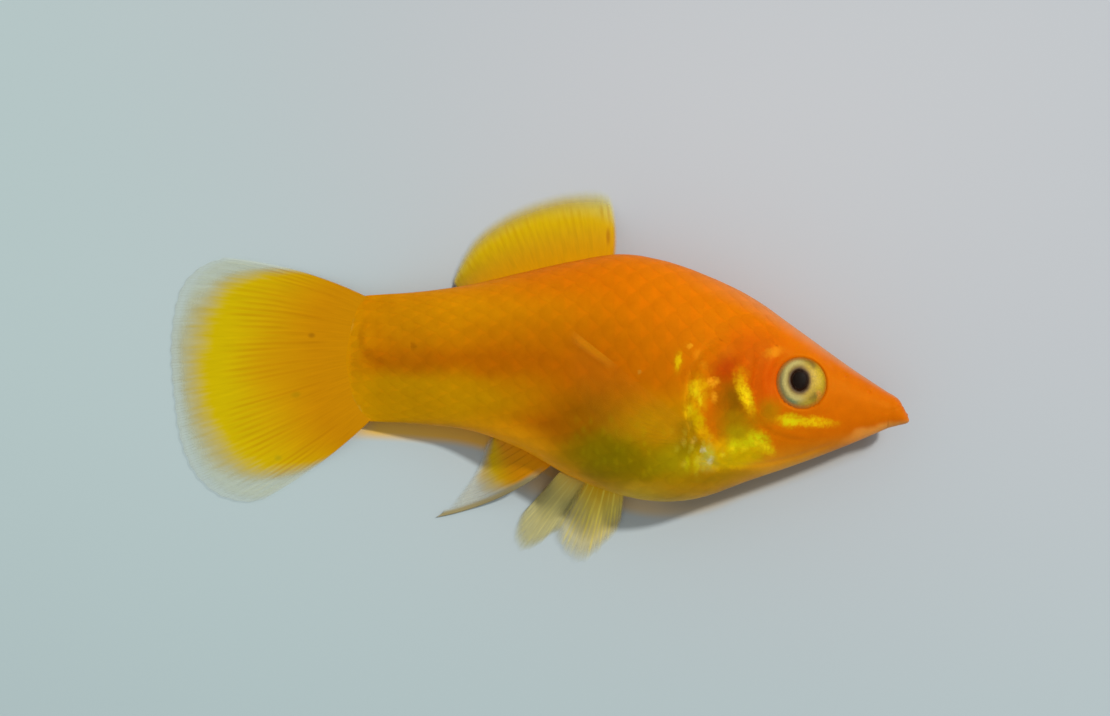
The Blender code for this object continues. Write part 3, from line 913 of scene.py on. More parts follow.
def distance_to(x, y, path, samples=60):
    """How far each place is from a smooth path, and how far along the nearest part is."""
    shares = np.linspace(0.0, 1.0, samples)
    spots = np.array([along(path, s) for s in shares])
    nearest = np.full(x.shape, 1e9)
    share = np.zeros(x.shape)
    for spot, at in zip(spots, shares):
        distance = np.hypot(x - spot[0], y - spot[1])
        closer = distance < nearest
        nearest[closer] = distance[closer]
        share[closer] = at
    return nearest, share


def fold_heights(x, y):
    """The height of all furrows and ridges at each place."""
    height = np.zeros(x.shape)
    for path, depth, width in FOLDS:
        distance, share = distance_to(x, y, path)
        fade = between(0.0, 0.15, share) * between(1.0, 0.85, share)
        height += depth * hump(distance, width) * fade
    return height


def gill_cover_heights(x, y):
    """The gill cover stands out over the shoulder, with a slit behind its rounded edge."""
    radius = oval(x, y, GILL_CENTRE, (GILL_HALF_LENGTH, GILL_HALF_HEIGHT))
    rearwards = between(0.35, -0.25, (x - GILL_CENTRE[0]) / GILL_HALF_LENGTH)
    plate = GILL_RISE * between(1.05, 0.90, radius) * between(0.2, 0.8, radius)
    slit = GILL_SLIT_DEPTH * hump(radius - GILL_SLIT_SHARE, GILL_SLIT_WIDTH)
    return (plate - slit) * rearwards


def mouth_heights(x, y):
    """The mouth's slit across the snout's front, between two soft lips."""
    over_slit = y - MOUTH_CORNER[1] - MOUTH_SLOPE * (x - MOUTH_CORNER[0])
    across = over_slit / math.hypot(1, MOUTH_SLOPE)
    inside = between(MOUTH_CORNER[0] - 0.15, MOUTH_CORNER[0] + 0.45, x)
    slit = MOUTH_DEPTH * hump(across, MOUTH_WIDTH)
    lips = LIP_RISE * hump(np.abs(across) - LIP_OFFSET, LIP_WIDTH)
    return (lips - slit) * inside


def nostril_heights(x, y):
    height = np.zeros(x.shape)
    for place in NOSTRILS:
        distance = np.hypot(x - place[0], y - place[1])
        height += NOSTRIL_RISE * hump(distance - NOSTRIL_RADIUS, NOSTRIL_RIM)
        height -= NOSTRIL_DEPTH * hump(distance, NOSTRIL_WIDTH)
    return height


def eye_frame(side):
    """The eye's place on the flank, its axis, and the directions to the snout and the back."""
    place = np.array([*EYE_CENTRE, flank_height(*EYE_CENTRE, side)])
    axis = np.array([EYE_AXIS[0], EYE_AXIS[1], side * EYE_AXIS[2]])
    axis /= np.linalg.norm(axis)
    forwards = np.array([1.0, 0.0, 0.0])
    forwards -= axis * forwards.dot(axis)
    forwards /= np.linalg.norm(forwards)
    upwards = np.cross(axis, forwards) * side
    return place, axis, forwards, upwards


def set_orbits(points):
    """Sinks each eye's socket into the skin, with a soft raised ring of skin round it."""
    middle = section(EYE_CENTRE[0])[4]
    for side in (1, -1):
        place, axis, forwards, upwards = eye_frame(side)
        offset = points - place
        height = offset @ axis
        radius = np.hypot(offset @ forwards, offset @ upwards)
        own_side = (points[..., 2] - middle) * side > 0
        level = between(EYE_RADIUS + SOCKET_REACH, EYE_RADIUS + 0.05, radius)
        ring = ORBIT_RISE * hump(radius - EYE_RADIUS - ORBIT_OFFSET, ORBIT_WIDTH)
        hollow = SOCKET_DEPTH * between(EYE_RADIUS - 0.02, EYE_RADIUS - 0.30, radius)
        change = np.where(own_side, (ring - hollow - EYE_SINK - height) * level, 0.0)
        points += change[..., None] * axis
    return points


def rest_on_floor(points):
    """Presses the skin flat where it would sink into the floor, with a soft edge."""
    fin_room = between(1.5, 0.8, oval(points[..., 0], points[..., 1], *FIN_POCKET))
    floor = SKIN_REST + FIN_POCKET_DEPTH * fin_room
    over = (points[..., 2] - floor) / SKIN_SOFTNESS
    points[..., 2] = floor + SKIN_SOFTNESS * np.logaddexp(0.0, over)
    return points


def gill_edge(y):
    """Where the gill cover ends at a height on the flank."""
    share = np.clip((y - GILL_CENTRE[1]) / GILL_HALF_HEIGHT, -1.0, 1.0)
    return GILL_CENTRE[0] - GILL_HALF_LENGTH * np.sqrt(1.0 - share**2)


def body_cover(x, y):
    """Where the body's scales lie: behind the gill covers and over the nape and throat."""
    behind = between(0.15, -0.55, x - gill_edge(y))
    nape = between(2.9, 3.7, y) * between(25.2, 23.2, x)
    throat = between(-8.2, -8.9, y) * between(20.5, 18.5, x)
    clear_of_tail_fin = between(-17.6, -14.6, x)
    return np.maximum(np.maximum(behind, nape), throat) * clear_of_tail_fin


def cheek_cover(x, y):
    """Where the cheek's and gill cover's own, smaller scales lie."""
    lengthwise = between(-0.1, 0.6, x - gill_edge(y)) * between(23.5, 22.6, x)
    upright = between(-7.8, -7.0, y) * between(3.4, 2.8, y)
    from_eye = np.hypot(x - BARE_RING_CENTRE[0], y - BARE_RING_CENTRE[1])
    clear_of_eye = between(EYE_RADIUS + 0.5, EYE_RADIUS + 1.1, from_eye)
    return lengthwise * upright * clear_of_eye


def unwrap_place(x):
    """A place along the body on the skin's unwrap, where 0 is near the tail's end."""
    low, high = TAIL_STEM_TIP[0], SNOUT_POLE[0] + 0.4
    return UNWRAP_MARGIN + UNWRAP_INNER * (x - low) / (high - low)


def skin():
    """The whole skin as one closed piece, with its unwrap and what the scales need of it."""
    rings = skin_rings()
    outwards = outward_directions(rings)
    x, y = rings[..., 0], rings[..., 1]
    height = fold_heights(x, y) + gill_cover_heights(x, y) + nostril_heights(x, y)
    height += mouth_heights(x, y)
    height += FIN_ROOT_RISE * hump(oval(x, y, *FIN_ROOT), 1.0)
    points = rings + outwards * height[..., None]
    points = rest_on_floor(set_orbits(points))
    tail = points[0].mean(axis=0) + (-0.02, 0.0, 0.0)
    snout = np.array([SNOUT_POLE[0] + 0.10, SNOUT_POLE[1] + 0.05, section(SNOUT_START_X)[4]])
    corners = np.vstack([points.reshape(-1, 3), tail, snout])
    body = mesh_object("skin", corners, tube_faces(*points.shape[:2]))
    add_unwrap(body.data, points)
    normals = outward_directions(points).reshape(-1, 3)
    store(body.data, "outward", np.vstack([normals, (-1.0, 0.0, 0.0), (1.0, 0.0, 0.0)]))
    for name, rule in (("body_cover", body_cover), ("cheek_cover", cheek_cover)):
        store(body.data, name, np.append(rule(x, y).ravel(), (0.0, 0.0)))
    return body


def add_unwrap(mesh, points):
    """The skin's own unwrap: along the body one way, and round it from the belly the other."""
    count, around = points.shape[:2]
    along_body = unwrap_place(points[..., 0].mean(axis=1))
    end_length = 0.002

    def spot(ring, column):
        return along_body[ring], UNWRAP_MARGIN + UNWRAP_INNER * column / around

    def end_spot(ring, column, push):
        return along_body[ring] + push, spot(ring, column + 0.5)[1]

    columns = [(j + around // 2) % around for j in range(around)]
    corners = []
    for i in range(count - 1):
        for c in columns:
            corners += [spot(i, c), spot(i, c + 1), spot(i + 1, c + 1), spot(i + 1, c)]
    for c in columns:
        corners += [spot(0, c + 1), spot(0, c), end_spot(0, c, -end_length)]
        corners += [spot(-1, c), spot(-1, c + 1), end_spot(-1, c, end_length)]
    unwrap = mesh.uv_layers.new(name="OFBake")
    unwrap.data.foreach_set("uv", np.array(corners, np.float32).ravel())


# Scales

# Each coat's name, cover, rear and front end, columns, rows, relief and unevenness.
SCALE_COATS = (
    ("scales_body", "body_cover", -17.4, 25.2, 36, 26, 0.014, 0.05),
    ("scales_cheeks", "cheek_cover", 14.4, 23.6, 11, 36, 0.009, 0.12),
)
# A scale's length and breadth, in gaps between scales, and its size on the unwrap.
SCALE_OVERLAP = 1.75
SCALE_BREADTH = 1.2
SCALE_PATCH = 0.003
# How much cover a scale needs to grow.
LEAST_COVER = 0.3


def one_scale():
    """A scale's plate: its root at 0, its rounded rear edge at -1, thin at the sides."""
    lengthwise, crosswise, thickness = 5, 7, 0.55
    top, rim = [], []
    for i in range(lengthwise):
        back = i / (lengthwise - 1)
        width = 0.36 + 0.14 * math.sin(math.pi * min(back * 1.15, 1.0) ** 0.8)
        if back == 1:
            width *= 0.94
        for j in range(crosswise):
            side = 2 * j / (crosswise - 1) - 1
            x = -back * (1 - 0.34 * abs(side) ** 2.2)
            z = -0.7 + 1.7 * back**0.8 - 0.45 * side**2 * back
            top.append((x, side * width, z))
            rim.append(back)
    points = top + [(x, y, z - thickness) for x, y, z in top]
    plate = mesh_object("one_scale", np.array(points) / MM, sheet_faces(lengthwise, crosswise))
    turn_outwards(plate.data)
    store(plate.data, "rim", rim + rim)

    # The rim is sharp, so that the top keeps its own shading right up to it.
    def sharpen_rim(bm):
        for line in bm.edges:
            walls = {len({v.index < len(top) for v in face.verts}) for face in line.link_faces}
            line.smooth = len(walls) == 1

    edit_mesh(plate.data, sharpen_rim)
    return plate


def scale_coat_tree():
    """Sets staggered scales over a skin's unwrap and lays each one on the skin."""
    tree, given, made = group(
        "GeometryNodeTree",
        "scale coat",
        [
            ("Skin", "NodeSocketGeometry", None),
            ("Scale", "NodeSocketObject", None),
            ("Cover", "NodeSocketString", None),
            ("Columns", "NodeSocketInt", 30),
            ("Rows", "NodeSocketInt", 24),
            ("Rear", "NodeSocketFloat", 0.0),
            ("Front", "NodeSocketFloat", 1.0),
            ("Overlap", "NodeSocketFloat", 1.7),
            ("Breadth", "NodeSocketFloat", 1.1),
            ("Relief", "NodeSocketFloat", 0.00005),
            ("Unevenness", "NodeSocketFloat", 0.1),
            ("Patch", "NodeSocketFloat", 0.003),
            ("Seed", "NodeSocketInt", 0),
            ("Finish", "NodeSocketMaterial", None),
        ],
        [("Coat", "NodeSocketGeometry")],
    )
    wanted = given.outputs
    unwrap = named_value(tree, "OFBake", "FLOAT_VECTOR")
    here = step(tree, "GeometryNodeInputPosition").outputs[0]

    # The roots, in the plane of the unwrap, each second column moved by half a row.
    index = step(tree, "GeometryNodeInputIndex").outputs[0]
    column = calc(tree, "FLOOR", calc(tree, "DIVIDE", index, wanted["Rows"]))
    row = calc(tree, "SUBTRACT", index, product(tree, column, wanted["Rows"]))
    stagger = product(tree, calc(tree, "MODULO", column, 2.0), 0.5)
    span = calc(tree, "SUBTRACT", wanted["Front"], wanted["Rear"])
    column_gap = calc(tree, "DIVIDE", span, wanted["Columns"])
    row_gap = calc(tree, "DIVIDE", 1.0, wanted["Rows"])
    u = calc(tree, "MULTIPLY_ADD", calc(tree, "ADD", column, 0.5), column_gap, wanted["Rear"])
    v = product(tree, calc(tree, "ADD", row, stagger), row_gap)
    inputs = {"Min": (-1.0, -1.0, -1.0), "Max": (1.0, 1.0, 1.0), "Seed": wanted["Seed"]}
    chance = step(tree, "FunctionNodeRandomValue", inputs, data_type="FLOAT_VECTOR").outputs[0]
    by_chance = parted(tree, chance)
    u = scatter(tree, u, by_chance[0], column_gap, wanted["Unevenness"])
    v = scatter(tree, v, by_chance[1], row_gap, wanted["Unevenness"])
    count = product(tree, wanted["Columns"], wanted["Rows"])
    inputs = {"Count": count, "Position": joined(tree, u, v)}
    roots = step(tree, "GeometryNodePoints", inputs).outputs[0]

    # A scale grows where the cover is thick enough at its root, and its relief follows it.
    cover = named_value(tree, wanted["Cover"], "FLOAT")
    covered = on_skin(tree, wanted["Skin"], unwrap, cover, wrap_round(tree, here), "FLOAT")
    inputs = {0: covered, 1: LEAST_COVER}
    keep = step(tree, "FunctionNodeCompare", inputs, operation="GREATER_THAN").outputs[0]
    length = product(tree, column_gap, wanted["Overlap"])
    breadth = product(tree, row_gap, wanted["Breadth"])
    height = product(tree, wanted["Relief"], soft_step(tree, covered, 0.2, 1.0))
    size = joined(tree, length, breadth, height)
    plate = step(tree, "GeometryNodeObjectInfo", {"Object": wanted["Scale"]}).outputs["Geometry"]
    inputs = {"Points": roots, "Selection": keep, "Instance": plate, "Scale": size}
    scales = step(tree, "GeometryNodeInstanceOnPoints", inputs).outputs[0]
    scales = keep_value(tree, scales, "root", here, "FLOAT_VECTOR", "INSTANCE")
    scales = step(tree, "GeometryNodeRealizeInstances", {0: scales}).outputs[0]

    # A small patch of the unwrap round each root, for the bake, and then the wrap itself.
    root = named_value(tree, "root", "FLOAT_VECTOR")
    flat_size = joined(tree, length, breadth, 1.0)
    local = vector_calc(tree, "DIVIDE", vector_calc(tree, "SUBTRACT", here, root), flat_size)
    patch = scaled(tree, local, wanted["Patch"])
    bake_place = vector_calc(tree, "ADD", wrap_round(tree, root), patch)
    scales = keep_value(tree, scales, "OFBake", bake_place, "FLOAT2", "CORNER")
    place = wrap_round(tree, here)
    skin_place = on_skin(tree, wanted["Skin"], unwrap, here, place, "FLOAT_VECTOR")
    outward = named_value(tree, "outward", "FLOAT_VECTOR")
    skin_outward = on_skin(tree, wanted["Skin"], unwrap, outward, place, "FLOAT_VECTOR")
    raised = scaled(tree, skin_outward, parted(tree, here)[2])
    laid = vector_calc(tree, "ADD", skin_place, raised)
    inputs = {"Geometry": scales, "Position": laid}
    scales = step(tree, "GeometryNodeSetPosition", inputs).outputs[0]
    end_tree(tree, scales, wanted["Finish"], made)
    return tree


def named_value(tree, name, kind):
    """A value that the mesh keeps under a name."""
    inputs = {"Name": name}
    return step(tree, "GeometryNodeInputNamedAttribute", inputs, data_type=kind).outputs[0]


def keep_value(tree, geometry, name, value, kind, domain):
    inputs = {"Geometry": geometry, "Name": name, "Value": value}
    kept = step(tree, "GeometryNodeStoreNamedAttribute", inputs, data_type=kind, domain=domain)
    return kept.outputs[0]


def scatter(tree, value, chance, gap, amount):
    """A value moved by chance, by up to a share of a gap."""
    return calc(tree, "ADD", value, product(tree, chance, gap, amount))


def wrap_round(tree, place):
    """A place on the unwrap, taken round past its seam, inside its margin."""
    along_body, round_it = parted(tree, place)[:2]
    turned = calc(tree, "FRACT", round_it)
    turned = calc(tree, "MULTIPLY_ADD", turned, UNWRAP_INNER, UNWRAP_MARGIN)
    return joined(tree, along_body, turned)


def on_skin(tree, geometry, unwrap, value, place, kind):
    """A value of the skin at a place on its unwrap."""
    inputs = {"Mesh": geometry, "Value": value, "UV Map": unwrap, "Sample UV": place}
    return step(tree, "GeometryNodeSampleUVSurface", inputs, data_type=kind).outputs[0]


def end_tree(tree, geometry, finish, made):
    """Ends a tree with smooth shading, real meshes and a material."""
    smooth = step(tree, "GeometryNodeSetShadeSmooth", {"Geometry": geometry}).outputs[0]
    real = step(tree, "GeometryNodeRealizeInstances", {0: smooth}).outputs[0]
    painted = step(tree, "GeometryNodeSetMaterial", {"Geometry": real, "Material": finish})
    feed(tree, made.inputs[0], painted.outputs[0])


def grow(name, source, tree, values):
    """Runs a tree on a mesh, and gives the result as a plain piece."""
    carrier = add_object(name + "_source", source)
    modifier = carrier.modifiers.new("grow", "NODES")
    modifier.node_group = tree
    for item in tree.interface.items_tree:
        if item.in_out == "INPUT" and item.name in values:
            modifier[item.identifier] = values[item.name]
    graph = bpy.context.evaluated_depsgraph_get()
    mesh = bpy.data.meshes.new_from_object(carrier.evaluated_get(graph))
    mesh.name = name
    bpy.data.objects.remove(carrier)
    return add_object(name, mesh)


def scale_coats(body, material):
    """The body's coat of scales, and the finer one of the cheeks and gill covers."""
    tree = scale_coat_tree()
    plate = one_scale()
    made = []
    for name, cover, rear, front, columns, rows, relief, unevenness in SCALE_COATS:
        values = {
            "Scale": plate,
            "Cover": cover,
            "Columns": columns,
            "Rows": rows,
            "Rear": unwrap_place(rear),
            "Front": unwrap_place(front),
            "Overlap": SCALE_OVERLAP,
            "Breadth": SCALE_BREADTH,
            "Relief": relief * MM,
            "Unevenness": unevenness,
            "Patch": SCALE_PATCH,
            "Seed": SEED + len(made),
            "Finish": material,
        }
        made.append(grow(name, body.data, tree, values))
    bpy.data.objects.remove(plate)
    return made


# Fins


# The right pectoral fin's clearance over the flank and the rise of its tip, and the left one's
# height over the floor.
FLANK_CLEARANCE = 0.16
TIP_RISE = 0.22
PRESSED_HEIGHT = 0.04


def drooping(offset, landing, rest=0.0):
    """A height rule: from the body's middle and an offset, down to rest at a share out."""
    return lambda point, out: rest + (section(point.x)[4] + offset) * (1 - ease(out / landing))


def over_flank(point, out):
    """A height rule: close over the right flank, lifting towards the tip."""
    return flank_height(*point, 1) + FLANK_CLEARANCE + TIP_RISE * out**2


def pressed_flat(_point, _out):
    """A height rule: under the body, on the floor."""
    return PRESSED_HEIGHT


# Each fin's base line and margin run from its front ray to its rear ray, as in the CAD.
# bulge: how far its front and rear edge bow out
# pleat, ripple, notch: the waves between its rays, along it and in its margin
# ray, splits: the thickness of its rays and how often they split
# reach, soft: how far out its colour goes, from front to rear, and how softly it ends
# flesh end, ray band: where the flesh's colour ends on the way out, and where the rays show
# alpha: its cover where it is coloured and where it is clear
# fade: where on the way out its cover starts and ends to fade, and what is left of it
# sides, rim: the breadths over which its front and rear edge fade, and its margin's cover
# marks: its patches, as centre, half sizes, turn, strength and colour
# edge: its front ray's width, start, end, cover and colour
FINS = {
    "caudal_fin": {
        "base": ((-15.2, 6.95), (-16.6, 4.60), (-17.1, 1.30), (-16.8, -2.10), (-15.7, -4.20)),
        "margin": (
            (-29.8, 11.20), (-32.1, 10.30), (-33.8, 8.55), (-34.7, 5.60), (-35.0, 1.80),
            (-34.6, -2.60), (-34.0, -6.20), (-32.7, -9.35), (-30.6, -11.3), (-27.9, -12.1),
            (-26.0, -11.8),
        ),
        "rays": 23, "bulge": (0.050, 0.035), "height": drooping(-0.62, 0.62),
        "pleat": 0.010, "ripple": 0.06, "notch": 0.010, "ray": 0.040, "splits": 2,
        "reach": (
            (0.0, 0.52), (0.08, 0.70), (0.2, 0.83), (0.45, 0.90), (0.7, 0.85), (0.88, 0.70),
            (1.0, 0.46),
        ),
        "soft": 0.12, "flesh": (208, 138, 1), "flesh end": (0.20, 0.78), "colour": (207, 180, 0),
        "clear": (216, 222, 196), "ray colour": (184, 116, 0), "ray strength": 0.36,
        "ray band": (0.14, 0.60), "alpha": (0.98, 0.26), "fade": (0.90, 1.0, 0.20), "rim": 0.06,
        "sides": (0.01, 0.01),
        "marks": (
            ((-24.5, 0.50), (3.2, 2.6), 0, 0.45, (204, 140, 1)),
            ((-21.5, 3.75), (0.30, 0.22), 0, 0.55, (150, 96, 5)),
            ((-23.0, -1.90), (0.40, 0.26), 10, 0.35, (150, 125, 5)),
            ((-24.7, -7.90), (0.32, 0.24), 0, 0.35, (150, 145, 20)),
        ),
    },
    "dorsal_fin": {
        "base": ((7.35, 10.7), (0.0, 9.4), (-7.2, 7.6)),
        "margin": (
            (6.95, 17.55), (5.40, 18.05), (2.70, 17.85), (0.20, 17.25), (-2.25, 16.30),
            (-4.40, 15.00), (-6.10, 13.45), (-7.30, 11.40), (-8.20, 8.90),
        ),
        "rays": 14, "bulge": (0.05, 0.05), "height": drooping(-0.30, 0.80),
        "pleat": 0.014, "ripple": 0.10, "notch": 0.05, "ray": 0.032, "splits": 1,
        "reach": ((0.0, 0.56), (0.1, 0.70), (0.3, 0.82), (0.7, 0.84), (1.0, 0.74)),
        "soft": 0.24, "flesh": (214, 146, 0), "flesh end": (0.14, 0.80), "colour": (218, 182, 4),
        "clear": (222, 214, 120), "ray colour": (198, 142, 2), "ray strength": 0.36,
        "ray band": (0.10, 0.66), "alpha": (0.97, 0.50), "fade": (0.66, 0.97, 0.0),
        "sides": (0.03, 0.03),
        "marks": (((6.65, 13.10), (0.18, 0.75), 0, 0.6, (168, 96, 6)),),
    },
    "anal_fin": {
        "base": ((1.60, -8.30), (-0.80, -6.70), (-3.60, -5.20)),
        "margin": (
            (-9.75, -13.55), (-8.30, -11.95), (-6.75, -10.20), (-5.70, -8.40), (-5.00, -6.30),
        ),
        "rays": 9, "bulge": (0.065, 0.0), "height": drooping(-0.35, 0.80),
        "pleat": 0.03, "ripple": 0.05, "notch": 0.03, "ray": 0.050, "splits": 1,
        "reach": ((0.0, 0.20), (0.15, 0.50), (0.35, 0.64), (0.6, 0.73), (0.8, 0.70), (1.0, 0.54)),
        "soft": 0.16, "flesh": (222, 142, 1), "flesh end": (0.25, 0.62), "colour": (222, 186, 8),
        "clear": (214, 216, 200), "ray colour": (190, 140, 10), "ray strength": 0.20,
        "ray band": (0.1, 0.7), "alpha": (0.98, 0.36), "fade": (0.82, 0.96, 0.0),
        # The front edge's brownish grey band is partly the thick leading ray's own colour and
        # partly painted shadow of that edge.
        "sides": (0.02, 0.12), "edge": (0.11, 0.15, 1.0, 0.75, (168, 154, 108)),
    },
    "pelvic_fin_right": {
        "base": ((8.25, -10.60), (6.70, -10.20), (4.60, -9.50)),
        "margin": (
            (8.00, -14.00), (7.35, -15.35), (6.30, -16.50), (5.30, -17.50), (3.90, -18.25),
            (2.30, -17.20), (1.10, -14.90),
        ),
        "rays": 9, "height": drooping(0.10, 0.72, 0.12),
        "ripple": 0.06, "notch": 0.09, "ray": 0.040, "splits": 1,
        "reach": ((0.0, 0.66), (0.4, 0.60), (1.0, 0.40)),
        "soft": 0.34, "flesh": (224, 170, 6), "flesh end": (0.0, 0.45), "colour": (214, 188, 70),
        "clear": (212, 208, 172), "ray colour": (255, 232, 90), "ray strength": 0.70,
        "ray band": (0.0, 0.9), "alpha": (0.84, 0.48), "fade": (0.72, 0.98, 0.0),
        "sides": (0.08, 0.16),
    },
    "pelvic_fin_left": {
        "base": ((5.20, -10.20), (3.60, -9.70), (2.00, -9.10)),
        "margin": (
            (2.20, -14.90), (0.90, -15.60), (-0.30, -16.60), (-1.80, -17.10), (-2.50, -16.10),
            (-2.45, -15.05), (-1.90, -13.70), (-1.00, -12.75),
        ),
        "rays": 9, "height": drooping(-1.10, 0.60),
        "ripple": 0.05, "notch": 0.07, "ray": 0.040, "splits": 1,
        "reach": ((0.0, 0.48), (1.0, 0.44)),
        "soft": 0.34, "flesh": (232, 200, 90), "flesh end": (0.0, 0.40), "colour": (204, 190, 112),
        "clear": (200, 194, 140), "ray colour": (236, 222, 130), "ray strength": 0.45,
        "ray band": (0.0, 0.9), "alpha": (0.76, 0.56), "fade": (0.72, 0.98, 0.0),
        "sides": (0.03, 0.08),
    },
    "pectoral_fin_right": {
        "base": ((14.30, -4.60), (14.15, -5.60), (13.95, -6.70)),
        "margin": (
            (3.05, 4.40), (2.10, 2.35), (2.30, -0.30), (3.40, -2.80), (5.10, -5.00), (7.25, -6.70),
        ),
        "rays": 12, "height": over_flank, "ray": 0.026, "splits": 1,
        "alpha": (0.06, 0.018), "fade": (0.8, 1.0, 0.0), "sides": (0.01, 0.20),
        "edge": (0.10, 0.66, 0.94, 0.14, (244, 170, 26)),
    },
    "pectoral_fin_left": {
        "base": ((14.30, -4.80), (14.25, -5.40), (14.20, -6.00)),
        "margin": ((3.30, 3.80), (3.05, 3.00), (3.55, 1.80), (4.50, 0.70)),
        "rays": 10, "height": pressed_flat, "ray": 0.03, "splits": 0,
        "alpha": (0.40, 0.12), "fade": (0.9, 1.0, 0.0), "sides": (0.02, 0.02),
    },
}
# What a fin has unless its own entry says otherwise.
PLAIN_FIN = {
    "bulge": (0.0, 0.0), "pleat": 0.02, "ripple": 0.0, "notch": 0.02,
    "reach": ((0.0, 0.10), (1.0, 0.05)),
    "soft": 0.10, "flesh": (206, 150, 10), "flesh end": (0.0, 0.30), "colour": (214, 140, 10),
    "clear": (226, 150, 50), "ray colour": (228, 150, 40), "ray strength": 0.40,
    "ray band": (0.0, 1.0), "rim": 0.0, "marks": (), "edge": None,
}
COLUMNS_PER_RAY = 8
MEMBRANE_ROWS = 40
MEMBRANE_THICKNESS = (0.09, 0.045)
# The fins' middle lies this far over the CAD's underside at the tip, and more at the base.
FIN_LIFT = (0.13, 0.12)
# A ray's points, how far out it ends, and how much thinner it gets on its way and once split.
RAY_POINTS = 26
RAY_END = 0.995
RAY_TAPER = 0.72
BRANCH_THICKNESS = 0.72
RAY_TUBE_SIDES = 6
# Where rays split on their way out, and how far each half moves, in gaps between rays.
RAY_SPLITS = ((0.42, 0.20), (0.70, 0.10))
SPLIT_LENGTH = 0.32
# How much more a ray covers than the clear membrane beside it.
CLEAR_RAY_COVER = 1.8


def fin_middle(fin, across, out):
    """A point in the middle of a fin's thickness, by its shares of the way across and out."""
    inwards = along(fin["margin"], 0.5) - along(fin["margin"], 0.0)
    start = along(fin["base"], across)
    run = along(fin["margin"], across) - start
    sideways = Vector((-run.y, run.x))
    if sideways.dot(inwards) > 0:
        sideways.negate()
    first, last = fin["bulge"]
    bow = first * max(1 - 2 * across, 0) - last * max(2 * across - 1, 0)
    point = start + run * out + sideways * bow * 4 * out * (1 - out)
    height = float(fin["height"](point, out)) + FIN_LIFT[0] + FIN_LIFT[1] * (1 - out)
    ripple = fin["ripple"] * out * (1 + math.sin(5.3 * across + 2.6 * out + 0.7))
    return point.x, point.y, height + ripple


def pleat_height(fin, across, out):
    """The membrane stands a little higher along each ray, and sags between them."""
    turn = 2 * math.pi * across * (fin["rays"] - 1)
    return fin["pleat"] * 0.5 * math.cos(turn) * float(between(0.0, 0.2, out))


def membrane(name, fin):
    """A thin closed sheet, pleated between its rays, with its fan coordinates."""
    columns = (fin["rays"] - 1) * COLUMNS_PER_RAY + 1
    top, bottom, fan = [], [], []
    for i in range(columns):
        across = i / (columns - 1)
        between_rays = math.sin(math.pi * i / COLUMNS_PER_RAY) ** 2
        ragged = 0.5 + 0.5 * math.sin(19.0 * across + 1.3 * math.sin(7.0 * across))
        for j in range(MEMBRANE_ROWS):
            out = j / (MEMBRANE_ROWS - 1)
            reach = out * (1 - fin["notch"] * (0.35 * ragged + 0.65 * between_rays))
            x, y, z = fin_middle(fin, across, reach)
            z += pleat_height(fin, across, reach)
            thick, thin = MEMBRANE_THICKNESS
            half = 0.5 * (thick + (thin - thick) * out)
            top.append((x, y, z + half))
            bottom.append((x, y, z - half))
            fan.append((across, reach, 0.0))
    sheet = mesh_object(name, top + bottom, sheet_faces(columns, MEMBRANE_ROWS))
    turn_outwards(sheet.data)
    store(sheet.data, "fan", fan + fan)
    return sheet


def ray_paths(fin):
    """The rays' middle lines. All but the edge rays split into branches on their way out."""
    gap = 1 / (fin["rays"] - 1)
    for k in range(fin["rays"]):
        tracks = [()]
        if 0 < k < fin["rays"] - 1:
            for start, spread in RAY_SPLITS[: fin["splits"]]:
                pushes = ((start, -spread), (start, spread))
                tracks = [(*track, push) for track in tracks for push in pushes]
        for track in tracks:
            yield ray_path(fin, k * gap, gap, track)


def ray_path(fin, across, gap, track):
    """One line of points along a ray, with its thickness and fan place at each point."""
    rows = []
    for n in range(RAY_POINTS):
        out = RAY_END * n / (RAY_POINTS - 1)
        pushes = [push * float(between(at, at + SPLIT_LENGTH, out)) for at, push in track]
        place = across + sum(pushes) * gap
        x, y, z = fin_middle(fin, place, out)
        z += pleat_height(fin, place, out)
        thickness = fin["ray"] * (1 - RAY_TAPER * out)
        if track and out > track[0][0]:
            thickness *= BRANCH_THICKNESS
        rows.append(((x, y, z), thickness, (place, out, 0.0)))
    return rows


def ray_tree():
    """Turns lines with a thickness into round, tapering rays."""
    tree, given, made = group(
        "GeometryNodeTree",
        "fin rays",
        [
            ("Lines", "NodeSocketGeometry", None),
            ("Sides", "NodeSocketInt", 6),
            ("Finish", "NodeSocketMaterial", None),
        ],
        [("Rays", "NodeSocketGeometry")],
    )
    lines = step(tree, "GeometryNodeMeshToCurve", {0: given.outputs["Lines"]}).outputs[0]
    inputs = {"Resolution": given.outputs["Sides"], "Radius": 1.0}
    outline = step(tree, "GeometryNodeCurvePrimitiveCircle", inputs).outputs[0]
    thickness = named_value(tree, "thickness", "FLOAT")
    inputs = {"Curve": lines, "Profile Curve": outline, "Scale": thickness, "Fill Caps": True}
    tubes = step(tree, "GeometryNodeCurveToMesh", inputs).outputs[0]
    end_tree(tree, tubes, given.outputs["Finish"], made)
    return tree


def rays(name, fin, tree, material):
    """All rays of a fin, as one piece."""
    rows, edges = [], []
    for path in ray_paths(fin):
        first = len(rows)
        edges += [(first + k, first + k + 1) for k in range(len(path) - 1)]
        rows += path
    points, thicknesses, fans = zip(*rows)
    lines = bpy.data.meshes.new(name + "_lines")
    lines.from_pydata((np.array(points) * MM).tolist(), edges, [])
    store(lines, "thickness", np.array(thicknesses) * MM)
    store(lines, "fan", fans)
    return grow(name, lines, tree, {"Sides": RAY_TUBE_SIDES, "Finish": material})


